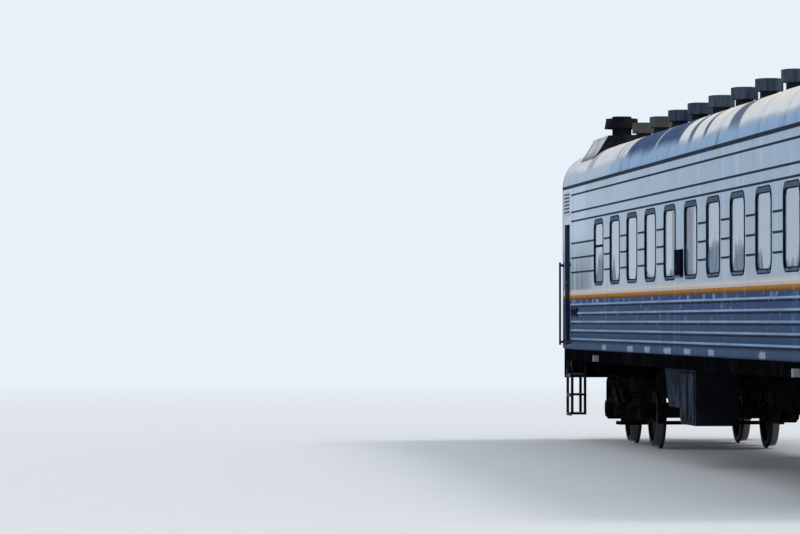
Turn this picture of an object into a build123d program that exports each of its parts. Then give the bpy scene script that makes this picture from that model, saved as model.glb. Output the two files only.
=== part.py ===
from build123d import *
from math import asin, atan2, cos, pi, sin, sqrt
import os

os.makedirs("parts", exist_ok=True)

# All lengths are millimetres. X runs along the coach, end A (the boiler end) at -X and end B at +X.
# The bay side is -Y and the aisle side is +Y. Z is up from the lowest point of the wheel flanges.

# Running gear
tread_radius = 475
flange_height = 28
axle_height = tread_radius + flange_height
rail_top = flange_height
wheelbase = 2400
bogie_overhang = 3300
back_to_back = 1440
rim_width = 130
journal_radius = 65
journal_reach = 1120

# Body shell
body_length = 23600
body_width = 3105
wall = 80
floor_thickness = 80
sill_bottom = rail_top + 1310
roof_top = rail_top + 4380
roof_radius = 3920
shoulder_radius = 520
sill_roll = 45
seam = 0.3

# Side doors and end doors
corner_post = 230
doorway = 650
door_head = rail_top + 3150
door_leaf = 42
surround_depth = 115
lock_post = 60
door_gap = 9
end_doorway = 760
end_door_head = rail_top + 3280
pin_radius = 8
knuckle_radius = 16
pin_offset = 18
strap_length = 120
strap_thickness = 8
strap_overlap = 4
tail_shift = 1

# Windows
window_count = 10
window_pitch = 1690
window_width = 980
window_height = 913
window_bottom = rail_top + 2229
window_corner = 150
frame_band = 38
frame_top_rail = 60
frame_proud = 6
frame_depth = 60
pane_thickness = 12
pane_recess = 8
transom_height = rail_top + 2770
transom_band = 30

# Values that follow from the sizes above
half_length = body_length / 2
half_width = body_width / 2
inner_width = half_width - wall
floor_top = sill_bottom + floor_thickness
crown_centre = roof_top - roof_radius
shoulder_y = half_width - shoulder_radius
cornice = crown_centre + sqrt((roof_radius - shoulder_radius) ** 2 - shoulder_y ** 2)
crown_angle = asin(shoulder_y / (roof_radius - shoulder_radius))
surround_inner = half_width - surround_depth
panel_end = half_length - corner_post - doorway
end_inside = half_length - wall
bogie_x = half_length - bogie_overhang
window_x = [(i - (window_count - 1) / 2) * window_pitch for i in range(window_count)]
window_middle = window_bottom + window_height / 2


def save(piece, name):
    piece.part.label = name
    export_step(piece.part, f"parts/{name}.step")


def on_circle(centre_y, centre_z, radius, angle):
    """A point of an arc in the cross section, its angle measured from straight up towards +Y."""
    return (centre_y + radius * sin(angle), centre_z + radius * cos(angle))


def roof_outline(inset, bottom):
    """The body's cross section: flat sides, a small arc at each shoulder and one large crown arc."""
    crown = roof_radius - inset
    shoulder = shoulder_radius - inset
    side = half_width - inset
    middle = (crown_angle + pi / 2) / 2
    joint = on_circle(0, crown_centre, crown, crown_angle)
    shoulder_mid = on_circle(shoulder_y, cornice, shoulder, middle)
    flip = lambda point: (-point[0], point[1])
    Polyline((-side, cornice), (-side, bottom), (side, bottom), (side, cornice))
    ThreePointArc((side, cornice), shoulder_mid, joint)
    ThreePointArc(joint, (0, crown_centre + crown), flip(joint))
    ThreePointArc(flip(joint), flip(shoulder_mid), (-side, cornice))


# Underframe: two solebars, a centre sill, cross members, the bolsters over the bogies,
# the draw gear pockets and the headstocks that carry buffers and couplers.
solebar_width = 140
solebar_depth = 160
solebar_inset = 25
sill_width = 360
sill_depth = 300
pocket_depth = 420
pocket_length = 1250
cross_member_width = 90
cross_member_pitch = 1700
bolster_width = 420
headstock_thickness = 110
centre_plate_radius = 210
centre_plate_drop = 20
pad_x = bogie_x - 630
pad_length = 130
pad_height = 85
pad_reach = 45
pad_drop = 60
underframe_bottom = sill_bottom - solebar_depth
solebar_y = half_width - solebar_inset - solebar_width / 2
cross_span = 2 * solebar_y
cross_members = [i * cross_member_pitch for i in range(-6, 7)]

with BuildPart() as underframe:
    with Locations((0, 0, sill_bottom - sill_depth / 2)):
        Box(body_length, sill_width, sill_depth)
    with Locations(*[(0, side * solebar_y, sill_bottom - solebar_depth / 2) for side in (-1, 1)]):
        Box(body_length, solebar_width, solebar_depth)
    with Locations(*[(x, 0, sill_bottom - solebar_depth / 2) for x in cross_members]):
        Box(cross_member_width, cross_span, solebar_depth)
    with Locations(*[(end * bogie_x, 0, sill_bottom - sill_depth / 2) for end in (-1, 1)]):
        Box(bolster_width, cross_span, sill_depth)
    pocket_x = half_length - pocket_length / 2
    with Locations(*[(end * pocket_x, 0, sill_bottom - pocket_depth / 2) for end in (-1, 1)]):
        Box(pocket_length, sill_width, pocket_depth)
    headstock_x = half_length - headstock_thickness / 2
    with Locations(*[(end * headstock_x, 0, sill_bottom - pocket_depth / 2) for end in (-1, 1)]):
        Box(headstock_thickness, cross_span + solebar_width, pocket_depth)
    pad_start = solebar_y + solebar_width / 2
    pad_depth = half_width + pad_reach - pad_start
    pad_z = sill_bottom - pad_drop - pad_height / 2
    for end in (-1, 1):
        with Locations(*[(end * pad_x, side * (pad_start + pad_depth / 2), pad_z) for side in (-1, 1)]):
            Box(pad_length, pad_depth, pad_height)
    plate_z = sill_bottom - sill_depth - centre_plate_drop / 2
    with Locations(*[(end * bogie_x, 0, plate_z) for end in (-1, 1)]):
        Cylinder(centre_plate_radius, centre_plate_drop)
save(underframe, "underframe")

with BuildPart() as floor:
    with Locations((0, 0, sill_bottom + floor_thickness / 2)):
        Box(body_length - 2 * wall, 2 * inner_width, floor_thickness)
save(floor, "floor")

# Side walls: pressed beads along the whole panel, and short ones on the piers between windows.
# Columns: height above the rail, half the bead's width, how far it stands out.
long_beads = [
    (3582, 16, 9),
    (3331, 16, 9),
    (3198, 16, 9),
    (2136, 20, 9),
    (1959, 26, 13),
    (1834, 26, 13),
    (1709, 26, 13),
    (1584, 26, 13),
    (1459, 26, 13),
]
pier_bead_heights = [2875, 2660, 2450]
pier_bead_half = 16
pier_bead_proud = 9
pier_margin = 70
belt_bottom = rail_top + 2042
belt_top = rail_top + 2095
belt_proud = 6
bead_end = panel_end - 170
pier_length = window_pitch - window_width - 2 * pier_margin
end_pier_start = window_x[-1] + window_width / 2 + pier_margin
end_pier_length = bead_end - end_pier_start
# Columns: centre of the pier along the coach, length of its beads. The middle pier is plain.
piers = [(i * window_pitch, pier_length) for i in range(1 - window_count // 2, window_count // 2) if i]
piers += [(end * (end_pier_start + end_pier_length / 2), end_pier_length) for end in (-1, 1)]


def bead_outline(height, half, proud):
    """One pressed bead of the side panel, seen in the cross section."""
    ThreePointArc((half_width, height - half), (half_width + proud, height), (half_width, height + half))
    Line((half_width, height + half), (half_width, height - half))


with BuildPart() as side_wall_aisle_side:
    with BuildSketch(Plane.YZ.offset(-panel_end)):
        with BuildLine():
            roll_middle = sill_roll * (1 - sqrt(0.5))
            Polyline(
                (half_width, sill_bottom + sill_roll),
                (half_width, cornice),
                (inner_width, cornice),
                (inner_width, sill_bottom),
                (half_width - sill_roll, sill_bottom),
            )
            ThreePointArc(
                (half_width - sill_roll, sill_bottom),
                (half_width - roll_middle, sill_bottom + roll_middle),
                (half_width, sill_bottom + sill_roll),
            )
        make_face()
        with Locations((half_width + belt_proud / 2, (belt_bottom + belt_top) / 2)):
            Rectangle(belt_proud, belt_top - belt_bottom)
    extrude(amount=2 * panel_end)
    with BuildSketch(Plane.YZ.offset(-bead_end)):
        for height, half, proud in long_beads:
            with BuildLine():
                bead_outline(rail_top + height, half, proud)
            make_face()
    extrude(amount=2 * bead_end)
    for x, length in piers:
        with BuildSketch(Plane.YZ.offset(x - length / 2)):
            for height in pier_bead_heights:
                with BuildLine():
                    bead_outline(rail_top + height, pier_bead_half, pier_bead_proud)
                make_face()
        extrude(amount=length)
    with BuildSketch(Plane.XZ.offset(-half_width - wall)):
        with Locations(*[(x, window_middle) for x in window_x]):
            RectangleRounded(window_width + 2 * seam, window_height + 2 * seam, window_corner)
    extrude(amount=3 * wall, mode=Mode.SUBTRACT)
save(side_wall_aisle_side, "side_wall_aisle_side")

with BuildPart() as side_wall_bay_side:
    mirror(side_wall_aisle_side.part, about=Plane.XZ)
save(side_wall_bay_side, "side_wall_bay_side")

# Window frames stand in the wall's cut-outs. The first window at end A has a transom bar.
frame_face = half_width + frame_proud
light_width = window_width - 2 * frame_band
light_height = window_height - frame_band - frame_top_rail
light_middle = window_bottom + frame_band + light_height / 2
light_corner = window_corner - frame_band
pane_face = half_width - pane_recess
transom_x = window_x[0]

with BuildPart() as frames_aisle_side:
    with BuildSketch(Plane.XZ.offset(-frame_face)):
        with Locations(*[(x, window_middle) for x in window_x]):
            RectangleRounded(window_width, window_height, window_corner)
        with Locations(*[(x, light_middle) for x in window_x]):
            RectangleRounded(light_width, light_height, light_corner, mode=Mode.SUBTRACT)
    extrude(amount=frame_depth)

with BuildPart() as transom:
    transom_depth = frame_proud + pane_recess - seam
    with Locations((transom_x, -(frame_face - transom_depth / 2), transom_height)):
        Box(light_width, transom_depth, transom_band)

with BuildPart() as window_frames:
    add(frames_aisle_side.part)
    mirror(frames_aisle_side.part, about=Plane.XZ)
    add(transom.part)
save(window_frames, "window_frames")

with BuildPart() as window_glass_aisle_side:
    with BuildSketch(Plane.XZ.offset(-pane_face)):
        with Locations(*[(x, light_middle) for x in window_x]):
            RectangleRounded(light_width - 2 * seam, light_height - 2 * seam, light_corner - seam)
    extrude(amount=pane_thickness)
save(window_glass_aisle_side, "window_glass_aisle_side")

with BuildPart() as window_glass_bay_side:
    mirror(window_glass_aisle_side.part, about=Plane.XZ)
save(window_glass_bay_side, "window_glass_bay_side")

# Roof: a crown sheet between two shoulders, each shoulder with a drip bead along the cornice.
drip_height = 28
drip_proud = 14

with BuildPart() as roof_crown:
    with BuildSketch(Plane.YZ.offset(-end_inside)):
        with BuildLine():
            left_out = on_circle(0, crown_centre, roof_radius, -crown_angle)
            right_out = on_circle(0, crown_centre, roof_radius, crown_angle)
            left_in = on_circle(0, crown_centre, roof_radius - wall, -crown_angle)
            right_in = on_circle(0, crown_centre, roof_radius - wall, crown_angle)
            ThreePointArc(left_out, (0, roof_top), right_out)
            Line(right_out, right_in)
            ThreePointArc(right_in, (0, roof_top - wall), left_in)
            Line(left_in, left_out)
        make_face()
    extrude(amount=2 * end_inside)
save(roof_crown, "roof_crown")

with BuildPart() as shoulder:
    with BuildSketch(Plane.YZ.offset(-end_inside)):
        with BuildLine():
            middle = (crown_angle + pi / 2) / 2
            high_out = on_circle(shoulder_y, cornice, shoulder_radius, crown_angle)
            high_in = on_circle(shoulder_y, cornice, shoulder_radius - wall, crown_angle)
            mid_out = on_circle(shoulder_y, cornice, shoulder_radius, middle)
            mid_in = on_circle(shoulder_y, cornice, shoulder_radius - wall, middle)
            ThreePointArc(high_out, mid_out, (half_width, cornice))
            Line((half_width, cornice), (inner_width, cornice))
            ThreePointArc((inner_width, cornice), mid_in, high_in)
            Line(high_in, high_out)
        make_face()
        with Locations((half_width + (drip_proud - wall) / 2, cornice + drip_height / 2)):
            Rectangle(drip_proud + wall, drip_height)
    extrude(amount=2 * end_inside)

with BuildPart() as roof_shoulders:
    add(shoulder.part)
    mirror(shoulder.part, about=Plane.XZ)
save(roof_shoulders, "roof_shoulders")

# Door surrounds: corner post, header with its lock post, and threshold at each of the four side
# doorways. They are deeper than the wall, so that the door leaf stands well back from the side.
door_low = panel_end
door_high = panel_end + doorway
post_length = end_inside - door_high
hinge_x = door_high
hinge_y = surround_inner - pin_offset
hinge_heights = [floor_top + 260, floor_top + 1500]
bracket_height = 30
pin_length = 60
knuckle_length = 52

# The louvres over each side door: two panels of slots, each slot under a sloping blade.
louvre_rows = 6
louvre_pitch = 52
louvre_slot = 20
louvre_length = 275
louvre_columns = [-160, 160]
louvre_plate = 4
louvre_blade = 4
louvre_proud = 14
louvre_margin = 8
louvre_pocket = 45
louvre_middle_x = panel_end + doorway / 2
louvre_middle_z = rail_top + 3465
pocket_height = (louvre_rows - 1) * louvre_pitch + 2 * louvre_slot
ledge_proud = 24
ledge_height = 14
ledge_length = 960
ledge_bottom = louvre_middle_z - pocket_height / 2 - louvre_margin - ledge_height

with BuildPart() as surround:
    with BuildSketch(Plane.XZ.offset(-half_width)):
        with Locations((door_high + post_length / 2, (sill_bottom + cornice) / 2)):
            Rectangle(post_length, cornice - sill_bottom)
        with Locations(((door_low + door_high - seam) / 2, (door_head + cornice) / 2)):
            Rectangle(doorway - seam, cornice - door_head)
        with Locations(((door_low + door_high - seam) / 2, (sill_bottom + floor_top) / 2)):
            Rectangle(doorway - seam, floor_thickness)
    extrude(amount=wall)
    sill_edges = surround.edges().filter_by(Axis.X).group_by(Axis.Z)[0].group_by(Axis.Y)[-1]
    fillet(sill_edges, radius=sill_roll)
    with BuildSketch(Plane.XZ.offset(-half_width)):
        with Locations((louvre_middle_x, louvre_middle_z)):
            for column in louvre_columns:
                with Locations((column, 0)):
                    Rectangle(louvre_length, pocket_height)
    extrude(amount=louvre_pocket, mode=Mode.SUBTRACT)
    with BuildSketch(Plane.XZ.offset(-inner_width)):
        with Locations((door_high + post_length / 2, (floor_top + cornice) / 2)):
            Rectangle(post_length, cornice - floor_top)
        with Locations(((door_low + door_high - seam) / 2, (door_head + cornice) / 2)):
            Rectangle(doorway - seam, cornice - door_head)
    extrude(amount=surround_depth - wall)
    with BuildSketch(Plane.XZ.offset(-inner_width + seam)):
        with Locations((door_low - lock_post / 2, (floor_top + cornice) / 2)):
            Rectangle(lock_post, cornice - floor_top)
    extrude(amount=surround_depth - wall - seam)
    for height in hinge_heights:
        with BuildSketch(Plane.XY.offset(height - bracket_height)):
            with Locations((hinge_x, hinge_y)):
                Circle(knuckle_radius)
            with Locations((hinge_x + 2 * knuckle_radius, surround_inner - knuckle_radius)):
                Rectangle(4 * knuckle_radius, 2 * knuckle_radius)
        extrude(amount=bracket_height)
        with BuildSketch(Plane.XY.offset(height)):
            with Locations((hinge_x, hinge_y)):
                Circle(pin_radius)
        extrude(amount=pin_length)

with BuildPart() as door_surrounds:
    add(surround.part)
    mirror(surround.part, about=Plane.XZ)
    mirror(surround.part, about=Plane.YZ)
    mirror(mirror(surround.part, about=Plane.XZ, mode=Mode.PRIVATE), about=Plane.YZ)
save(door_surrounds, "door_surrounds")

plate_face = half_width + seam + louvre_plate

with BuildPart() as louvre_panel:
    with BuildSketch(Plane.XZ.offset(-plate_face)):
        for column in louvre_columns:
            with Locations((louvre_middle_x + column, louvre_middle_z)):
                Rectangle(louvre_length + 2 * louvre_margin, pocket_height + 2 * louvre_margin)
            with Locations((louvre_middle_x + column, louvre_middle_z)):
                with GridLocations(0, louvre_pitch, 1, louvre_rows):
                    Rectangle(louvre_length, louvre_slot, mode=Mode.SUBTRACT)
    extrude(amount=louvre_plate)
    for column in louvre_columns:
        with BuildSketch(Plane.YZ.offset(louvre_middle_x + column - louvre_length / 2)):
            for row in range(louvre_rows):
                slot_z = louvre_middle_z + (row - (louvre_rows - 1) / 2) * louvre_pitch
                slot_top = slot_z + louvre_slot / 2
                with BuildLine():
                    Polyline(
                        (plate_face - louvre_plate, slot_top),
                        (plate_face - louvre_plate, slot_top + louvre_blade),
                        (plate_face + louvre_proud, slot_z - louvre_slot / 2 + louvre_blade),
                        (plate_face + louvre_proud, slot_z - louvre_slot / 2),
                        close=True,
                    )
                make_face()
        extrude(amount=louvre_length)
    with BuildSketch(Plane.YZ.offset(louvre_middle_x - ledge_length / 2)):
        with BuildLine():
            Polyline(
                (half_width + seam, ledge_bottom),
                (half_width + seam, ledge_bottom + ledge_height),
                (half_width + ledge_proud, ledge_bottom + ledge_height / 2),
                (half_width + ledge_proud, ledge_bottom),
                close=True,
            )
        make_face()
    extrude(amount=ledge_length)

with BuildPart() as door_louvres:
    add(louvre_panel.part)
    mirror(louvre_panel.part, about=Plane.XZ)
    mirror(louvre_panel.part, about=Plane.YZ)
    mirror(mirror(louvre_panel.part, about=Plane.XZ, mode=Mode.PRIVATE), about=Plane.YZ)
save(door_louvres, "door_louvres")

# End walls: left and right panel, header under the roof arc and threshold, round the end doorway.
end_hinge_y = end_doorway / 2
end_hinge_x = end_inside - pin_offset

with BuildPart() as end_wall_b:
    with BuildSketch(Plane.YZ.offset(end_inside)):
        with BuildLine():
            roof_outline(0, sill_bottom)
        outline = make_face()
        fillet(outline.vertices().group_by(Axis.Y)[0], radius=sill_roll)
        with Locations((0, (floor_top + end_door_head) / 2)):
            Rectangle(end_doorway, end_door_head - floor_top, mode=Mode.SUBTRACT)
        with Locations(*[(side * end_doorway / 2, (sill_bottom + floor_top) / 2) for side in (-1, 1)]):
            Rectangle(seam, floor_thickness, mode=Mode.SUBTRACT)
        with Locations(*[(side * (half_width + end_doorway / 2) / 2, end_door_head) for side in (-1, 1)]):
            Rectangle(half_width - end_doorway / 2, seam, mode=Mode.SUBTRACT)
    extrude(amount=wall)
    for height in hinge_heights:
        with BuildSketch(Plane.XY.offset(height - bracket_height)):
            with Locations((end_hinge_x, end_hinge_y)):
                Circle(knuckle_radius)
            with Locations((end_inside - knuckle_radius, end_hinge_y + 2 * knuckle_radius)):
                Rectangle(2 * knuckle_radius, 4 * knuckle_radius)
        extrude(amount=bracket_height)
        with BuildSketch(Plane.XY.offset(height)):
            with Locations((end_hinge_x, end_hinge_y)):
                Circle(pin_radius)
        extrude(amount=pin_length)
save(end_wall_b, "end_wall_b")

with BuildPart() as end_wall_a:
    mirror(end_wall_b.part, about=Plane.YZ)
save(end_wall_a, "end_wall_a")

# Side doors: an inward leaf with a window, hung on two pins at the corner post.
leaf_width = doorway - 2 * door_gap
leaf_bottom = floor_top + door_gap
leaf_height = door_head - door_gap - leaf_bottom
leaf_x = door_low + doorway / 2
door_light_width = 430
door_light_height = 720
door_light_corner = 60
door_top_rail = 190
door_light_middle = leaf_bottom + leaf_height - door_top_rail - door_light_height / 2
door_pane = 8
handle_height = leaf_bottom + 850
handle_inset = 70
handle_length = 130
handle_reach = 45
handle_radius = 11
handle_seat = 4
pressing_width = 470
pressing_height = 640
pressing_depth = 7
pressing_foot = 170
pressing_middle = leaf_bottom + pressing_foot + pressing_height / 2

with BuildPart() as side_leaf:
    with BuildSketch(Plane.XZ.offset(-(surround_inner + door_leaf))):
        with Locations((leaf_x, leaf_bottom + leaf_height / 2)):
            Rectangle(leaf_width, leaf_height)
        with Locations((leaf_x, door_light_middle)):
            RectangleRounded(door_light_width, door_light_height, door_light_corner, mode=Mode.SUBTRACT)
    extrude(amount=door_leaf)
    with BuildSketch(Plane.XZ.offset(-(surround_inner + door_leaf))):
        with Locations((leaf_x, pressing_middle)):
            RectangleRounded(pressing_width, pressing_height, door_light_corner)
    extrude(amount=pressing_depth, mode=Mode.SUBTRACT)
    for height in hinge_heights:
        with BuildSketch(Plane.XY.offset(height + seam)):
            with Locations((hinge_x, hinge_y)):
                Circle(knuckle_radius)
            strap_x = hinge_x - knuckle_radius - strap_length / 2
            with Locations((strap_x, surround_inner - pin_offset / 2)):
                Rectangle(strap_length, pin_offset)
            with Locations((hinge_x - (knuckle_radius + strap_overlap) / 2, hinge_y + tail_shift)):
                Rectangle(knuckle_radius + strap_overlap, 2 * strap_thickness)
            with Locations((hinge_x, hinge_y)):
                Circle(pin_radius + seam, mode=Mode.SUBTRACT)
        extrude(amount=knuckle_length)
    handle_x = door_low + door_gap + handle_inset
    with Locations((handle_x, surround_inner + door_leaf + (handle_reach - handle_seat) / 2, handle_height)):
        Cylinder(handle_radius, handle_reach + handle_seat, rotation=(90, 0, 0))
    lever_x = handle_x + handle_length / 2 - handle_radius
    with Locations((lever_x, surround_inner + door_leaf + handle_reach - handle_radius, handle_height)):
        Box(handle_length, 2 * handle_radius, 2 * handle_radius)

with BuildPart() as side_pane:
    with BuildSketch(Plane.XZ.offset(-(surround_inner + door_leaf / 2 + door_pane / 2))):
        with Locations((leaf_x, door_light_middle)):
            RectangleRounded(
                door_light_width - 2 * seam, door_light_height - 2 * seam, door_light_corner - seam
            )
    extrude(amount=door_pane)

# Columns: name, side of the coach, end of the coach.
side_doors = [
    ("a_bay_side", -1, -1),
    ("a_aisle_side", 1, -1),
    ("b_bay_side", -1, 1),
    ("b_aisle_side", 1, 1),
]


def placed(piece, side, end):
    """A copy of a piece drawn at the aisle side of end B, mirrored to another corner."""
    if side < 0:
        piece = mirror(piece, about=Plane.XZ)
    if end < 0:
        piece = mirror(piece, about=Plane.YZ)
    return piece


for name, side, end in side_doors:
    leaf_copy = placed(side_leaf.part, side, end)
    pane_copy = placed(side_pane.part, side, end)
    with BuildPart() as side_door:
        add(leaf_copy)
    save(side_door, f"side_door_{name}")
    with BuildPart() as side_door_glass:
        add(pane_copy)
    save(side_door_glass, f"side_door_glass_{name}")

# End doors: a plain leaf between the gangway tubes, hung at its aisle edge.
end_leaf_width = end_doorway - 2 * door_gap
end_leaf_height = end_door_head - door_gap - leaf_bottom

with BuildPart() as end_door_b:
    with BuildSketch(Plane.YZ.offset(end_inside)):
        with Locations((0, leaf_bottom + end_leaf_height / 2)):
            Rectangle(end_leaf_width, end_leaf_height)
    extrude(amount=door_leaf)
    for height in hinge_heights:
        with BuildSketch(Plane.XY.offset(height + seam)):
            with Locations((end_hinge_x, end_hinge_y)):
                Circle(knuckle_radius)
            strap_y = end_hinge_y - knuckle_radius - strap_length / 2
            with Locations((end_inside - pin_offset / 2, strap_y)):
                Rectangle(pin_offset, strap_length)
            with Locations((end_hinge_x + tail_shift, end_hinge_y - (knuckle_radius + strap_overlap) / 2)):
                Rectangle(2 * strap_thickness, knuckle_radius + strap_overlap)
            with Locations((end_hinge_x, end_hinge_y)):
                Circle(pin_radius + seam, mode=Mode.SUBTRACT)
        extrude(amount=knuckle_length)
save(end_door_b, "end_door_b")

with BuildPart() as end_door_a:
    mirror(end_door_b.part, about=Plane.YZ)
save(end_door_a, "end_door_a")

# The room inside the body's outline, which is taken away from what stands on the roof.
with BuildPart() as roof_space:
    with BuildSketch(Plane.YZ.offset(-half_length)):
        with BuildLine():
            roof_outline(0, sill_bottom)
        make_face()
    extrude(amount=body_length)

# Roof vents: ten drums on short necks, in one row above the bays.
vent_y = -970
vent_shift = 355
vent_radius = 160
vent_height = 145
vent_bottom = rail_top + 4317
vent_neck_radius = 105
vent_cap = 9
vent_cap_taper = 76
vent_mouth = 22
neck_start = vent_bottom - 150
along = (0, 90, 0)

with BuildPart() as roof_vents:
    for x in window_x:
        with BuildSketch(Plane.XY.offset(neck_start)):
            with Locations((x + vent_shift, vent_y)):
                Circle(vent_neck_radius)
        extrude(amount=vent_bottom - neck_start)
        with BuildSketch(Plane.XY.offset(vent_bottom)):
            with Locations((x + vent_shift, vent_y)):
                Circle(vent_radius)
                Circle(vent_radius - vent_mouth, mode=Mode.SUBTRACT)
                Circle(vent_neck_radius)
        extrude(amount=vent_mouth)
        with BuildSketch(Plane.XY.offset(vent_bottom + vent_mouth)):
            with Locations((x + vent_shift, vent_y)):
                Circle(vent_radius)
        extrude(amount=vent_height - vent_cap - vent_mouth)
        with BuildSketch(Plane.XY.offset(vent_bottom + vent_height - vent_cap)):
            with Locations((x + vent_shift, vent_y)):
                Circle(vent_radius)
        extrude(amount=vent_cap, taper=vent_cap_taper)
    add(roof_space.part, mode=Mode.SUBTRACT)
save(roof_vents, "roof_vents")

# Boiler hood: a long saddle box over the shoulder of the roof near end A. Its outer side slopes,
# its top runs level into the crown, and a stove pipe with a draught collar stands on it.
hood_start = -10650
hood_end = -9100
hood_foot_y = -1425
hood_top_y = -1215
hood_back_y = -250
hood_top = rail_top + 4375
hood_crown = rail_top + 4400
hood_depth = 300
pipe_x = -9600
pipe_y = -960
pipe_radius = 138
pipe_bore = 115
pipe_top = rail_top + 4665
collar_radius = 250
collar_top_radius = 225
collar_wall = 10
collar_bottom = rail_top + 4490
collar_top = rail_top + 4635
collar_webs = 4
web_thickness = 12


def roof_height(y):
    """The height of the roof's outer face at a distance from the coach's middle line."""
    if abs(y) < roof_radius * sin(crown_angle):
        return crown_centre + sqrt(roof_radius ** 2 - y ** 2)
    return cornice + sqrt(shoulder_radius ** 2 - (abs(y) - shoulder_y) ** 2)


with BuildPart() as boiler_hood:
    with BuildSketch(Plane.YZ.offset(hood_start)):
        with BuildLine():
            Polyline(
                (hood_foot_y, roof_height(hood_foot_y) - hood_depth),
                (hood_foot_y, roof_height(hood_foot_y)),
                (hood_top_y, hood_top),
                (hood_back_y, hood_crown),
                (hood_back_y, roof_height(hood_back_y) - hood_depth),
                close=True,
            )
        make_face()
    extrude(amount=hood_end - hood_start)
    with BuildSketch(Plane.XY.offset(hood_top - pipe_radius)):
        with Locations((pipe_x, pipe_y)):
            Circle(pipe_radius)
    extrude(amount=pipe_top - hood_top + pipe_radius)
    with BuildSketch(Plane.XY.offset(collar_bottom)):
        with Locations((pipe_x, pipe_y)):
            with PolarLocations((pipe_radius + collar_top_radius) / 2, collar_webs):
                Rectangle(collar_top_radius - pipe_radius + collar_wall, web_thickness)
    extrude(amount=collar_top - collar_bottom)
    add(roof_space.part, mode=Mode.SUBTRACT)
    with BuildSketch(Plane.XY.offset(collar_top + collar_wall)):
        with Locations((pipe_x, pipe_y)):
            Circle(pipe_bore)
    extrude(amount=pipe_top - collar_top, mode=Mode.SUBTRACT)

with BuildPart() as draught_collar:
    with BuildSketch(Plane.XY.offset(collar_bottom)):
        with Locations((pipe_x, pipe_y)):
            Circle(collar_radius)
    with BuildSketch(Plane.XY.offset(collar_top)):
        with Locations((pipe_x, pipe_y)):
            Circle(collar_top_radius)
    loft()
    with BuildSketch(Plane.XY.offset(collar_bottom)):
        with Locations((pipe_x, pipe_y)):
            Circle(collar_radius - collar_wall)
    with BuildSketch(Plane.XY.offset(collar_top)):
        with Locations((pipe_x, pipe_y)):
            Circle(collar_top_radius - collar_wall)
    loft(mode=Mode.SUBTRACT)

with BuildPart() as hood_and_collar:
    add(boiler_hood.part)
    add(draught_collar.part)
save(hood_and_collar, "boiler_hood")

# Gangway: rubber tubes up both sides of each end door and across its top.
tube_radius = 130
tube_y = 610
tube_bottom = floor_top - 20
tube_top = rail_top + 3430
tube_x = half_length + tube_radius
top_tube_z = tube_top + tube_radius + seam

with BuildPart() as gangway_tubes:
    for end in (-1, 1):
        with BuildSketch(Plane.XY.offset(tube_bottom)):
            with Locations(*[(end * tube_x, side * tube_y) for side in (-1, 1)]):
                Circle(tube_radius)
        extrude(amount=tube_top - tube_bottom)
        with Locations((end * tube_x, 0, top_tube_z)):
            Cylinder(tube_radius, 2 * (tube_y + tube_radius), rotation=(90, 0, 0))
save(gangway_tubes, "gangway_tubes")

# Couplers: automatic knuckle couplers, each with a shank into its pocket in the headstock.
coupler_height = rail_top + 1060
coupler_reach = 470
coupler_face = half_length + coupler_reach
shank_width = 130
shank_height = 150
head_length = 250
head_width = 420
head_height = 260
# Columns: distance from the root of the head, distance from the middle line. The shank's corners,
# the guard arm, the mouth, the knuckle.
head_corners = [
    (0, -shank_width / 2),
    (0, shank_width / 2),
    (110, head_width / 2 - 20),
    (head_length, head_width / 2),
    (head_length, head_width / 2 - 90),
    (150, 60),
    (150, -40),
    (head_length - 20, -30),
    (head_length, -head_width / 2 + 60),
    (150, -head_width / 2),
]

with BuildPart() as coupler_b:
    with BuildSketch(Plane.YZ.offset(half_length)):
        with Locations((0, coupler_height)):
            Rectangle(shank_width, shank_height)
    extrude(amount=coupler_face - head_length - half_length)
    with BuildSketch(Plane.XY.offset(coupler_height - head_height / 2)):
        with BuildLine():
            root = coupler_face - head_length
            Polyline(*[(root + x, y) for x, y in head_corners], close=True)
        make_face()
    extrude(amount=head_height)

with BuildPart() as couplers:
    add(coupler_b.part)
    mirror(mirror(coupler_b.part, about=Plane.YZ, mode=Mode.PRIVATE), about=Plane.XZ)
save(couplers, "couplers")

# Buffers: sleeve, plunger and round head, two at each end.
buffer_y = 875
buffer_height = rail_top + 1070
buffer_reach = 490
buffer_face = half_length + buffer_reach
sleeve_radius = 105
plunger_radius = 80
buffer_head_radius = 170
sleeve_length = 260
buffer_head_thickness = 40

buffer_bevel = 12

with BuildPart() as buffer:
    with BuildSketch(Plane.XY):
        with BuildLine():
            sleeve_end = half_length + sleeve_length
            head_back = buffer_face - buffer_head_thickness
            Polyline(
                (half_length, 0),
                (half_length, sleeve_radius),
                (sleeve_end, sleeve_radius),
                (sleeve_end, plunger_radius),
                (head_back, plunger_radius),
                (head_back, buffer_head_radius),
                (buffer_face - buffer_bevel, buffer_head_radius),
                (buffer_face, buffer_head_radius / 2),
                (buffer_face, 0),
                close=True,
            )
        make_face()
    revolve(axis=Axis.X)

with BuildPart() as buffer_pair:
    with Locations(*[(0, side * buffer_y, buffer_height) for side in (-1, 1)]):
        add(buffer.part)

with BuildPart() as buffers:
    add(buffer_pair.part)
    mirror(buffer_pair.part, about=Plane.YZ)
save(buffers, "buffers")

# Steps under the side doors: treads between slim hanger bars, one at each corner.
tread_heights = [950, 660, 380]
tread_depth = 230
tread_thickness = 26
tread_lip = 45
step_width = 540
step_face_y = half_width - 20
hanger_bar = 12
hanger_depth = 40
step_x = leaf_x

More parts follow.
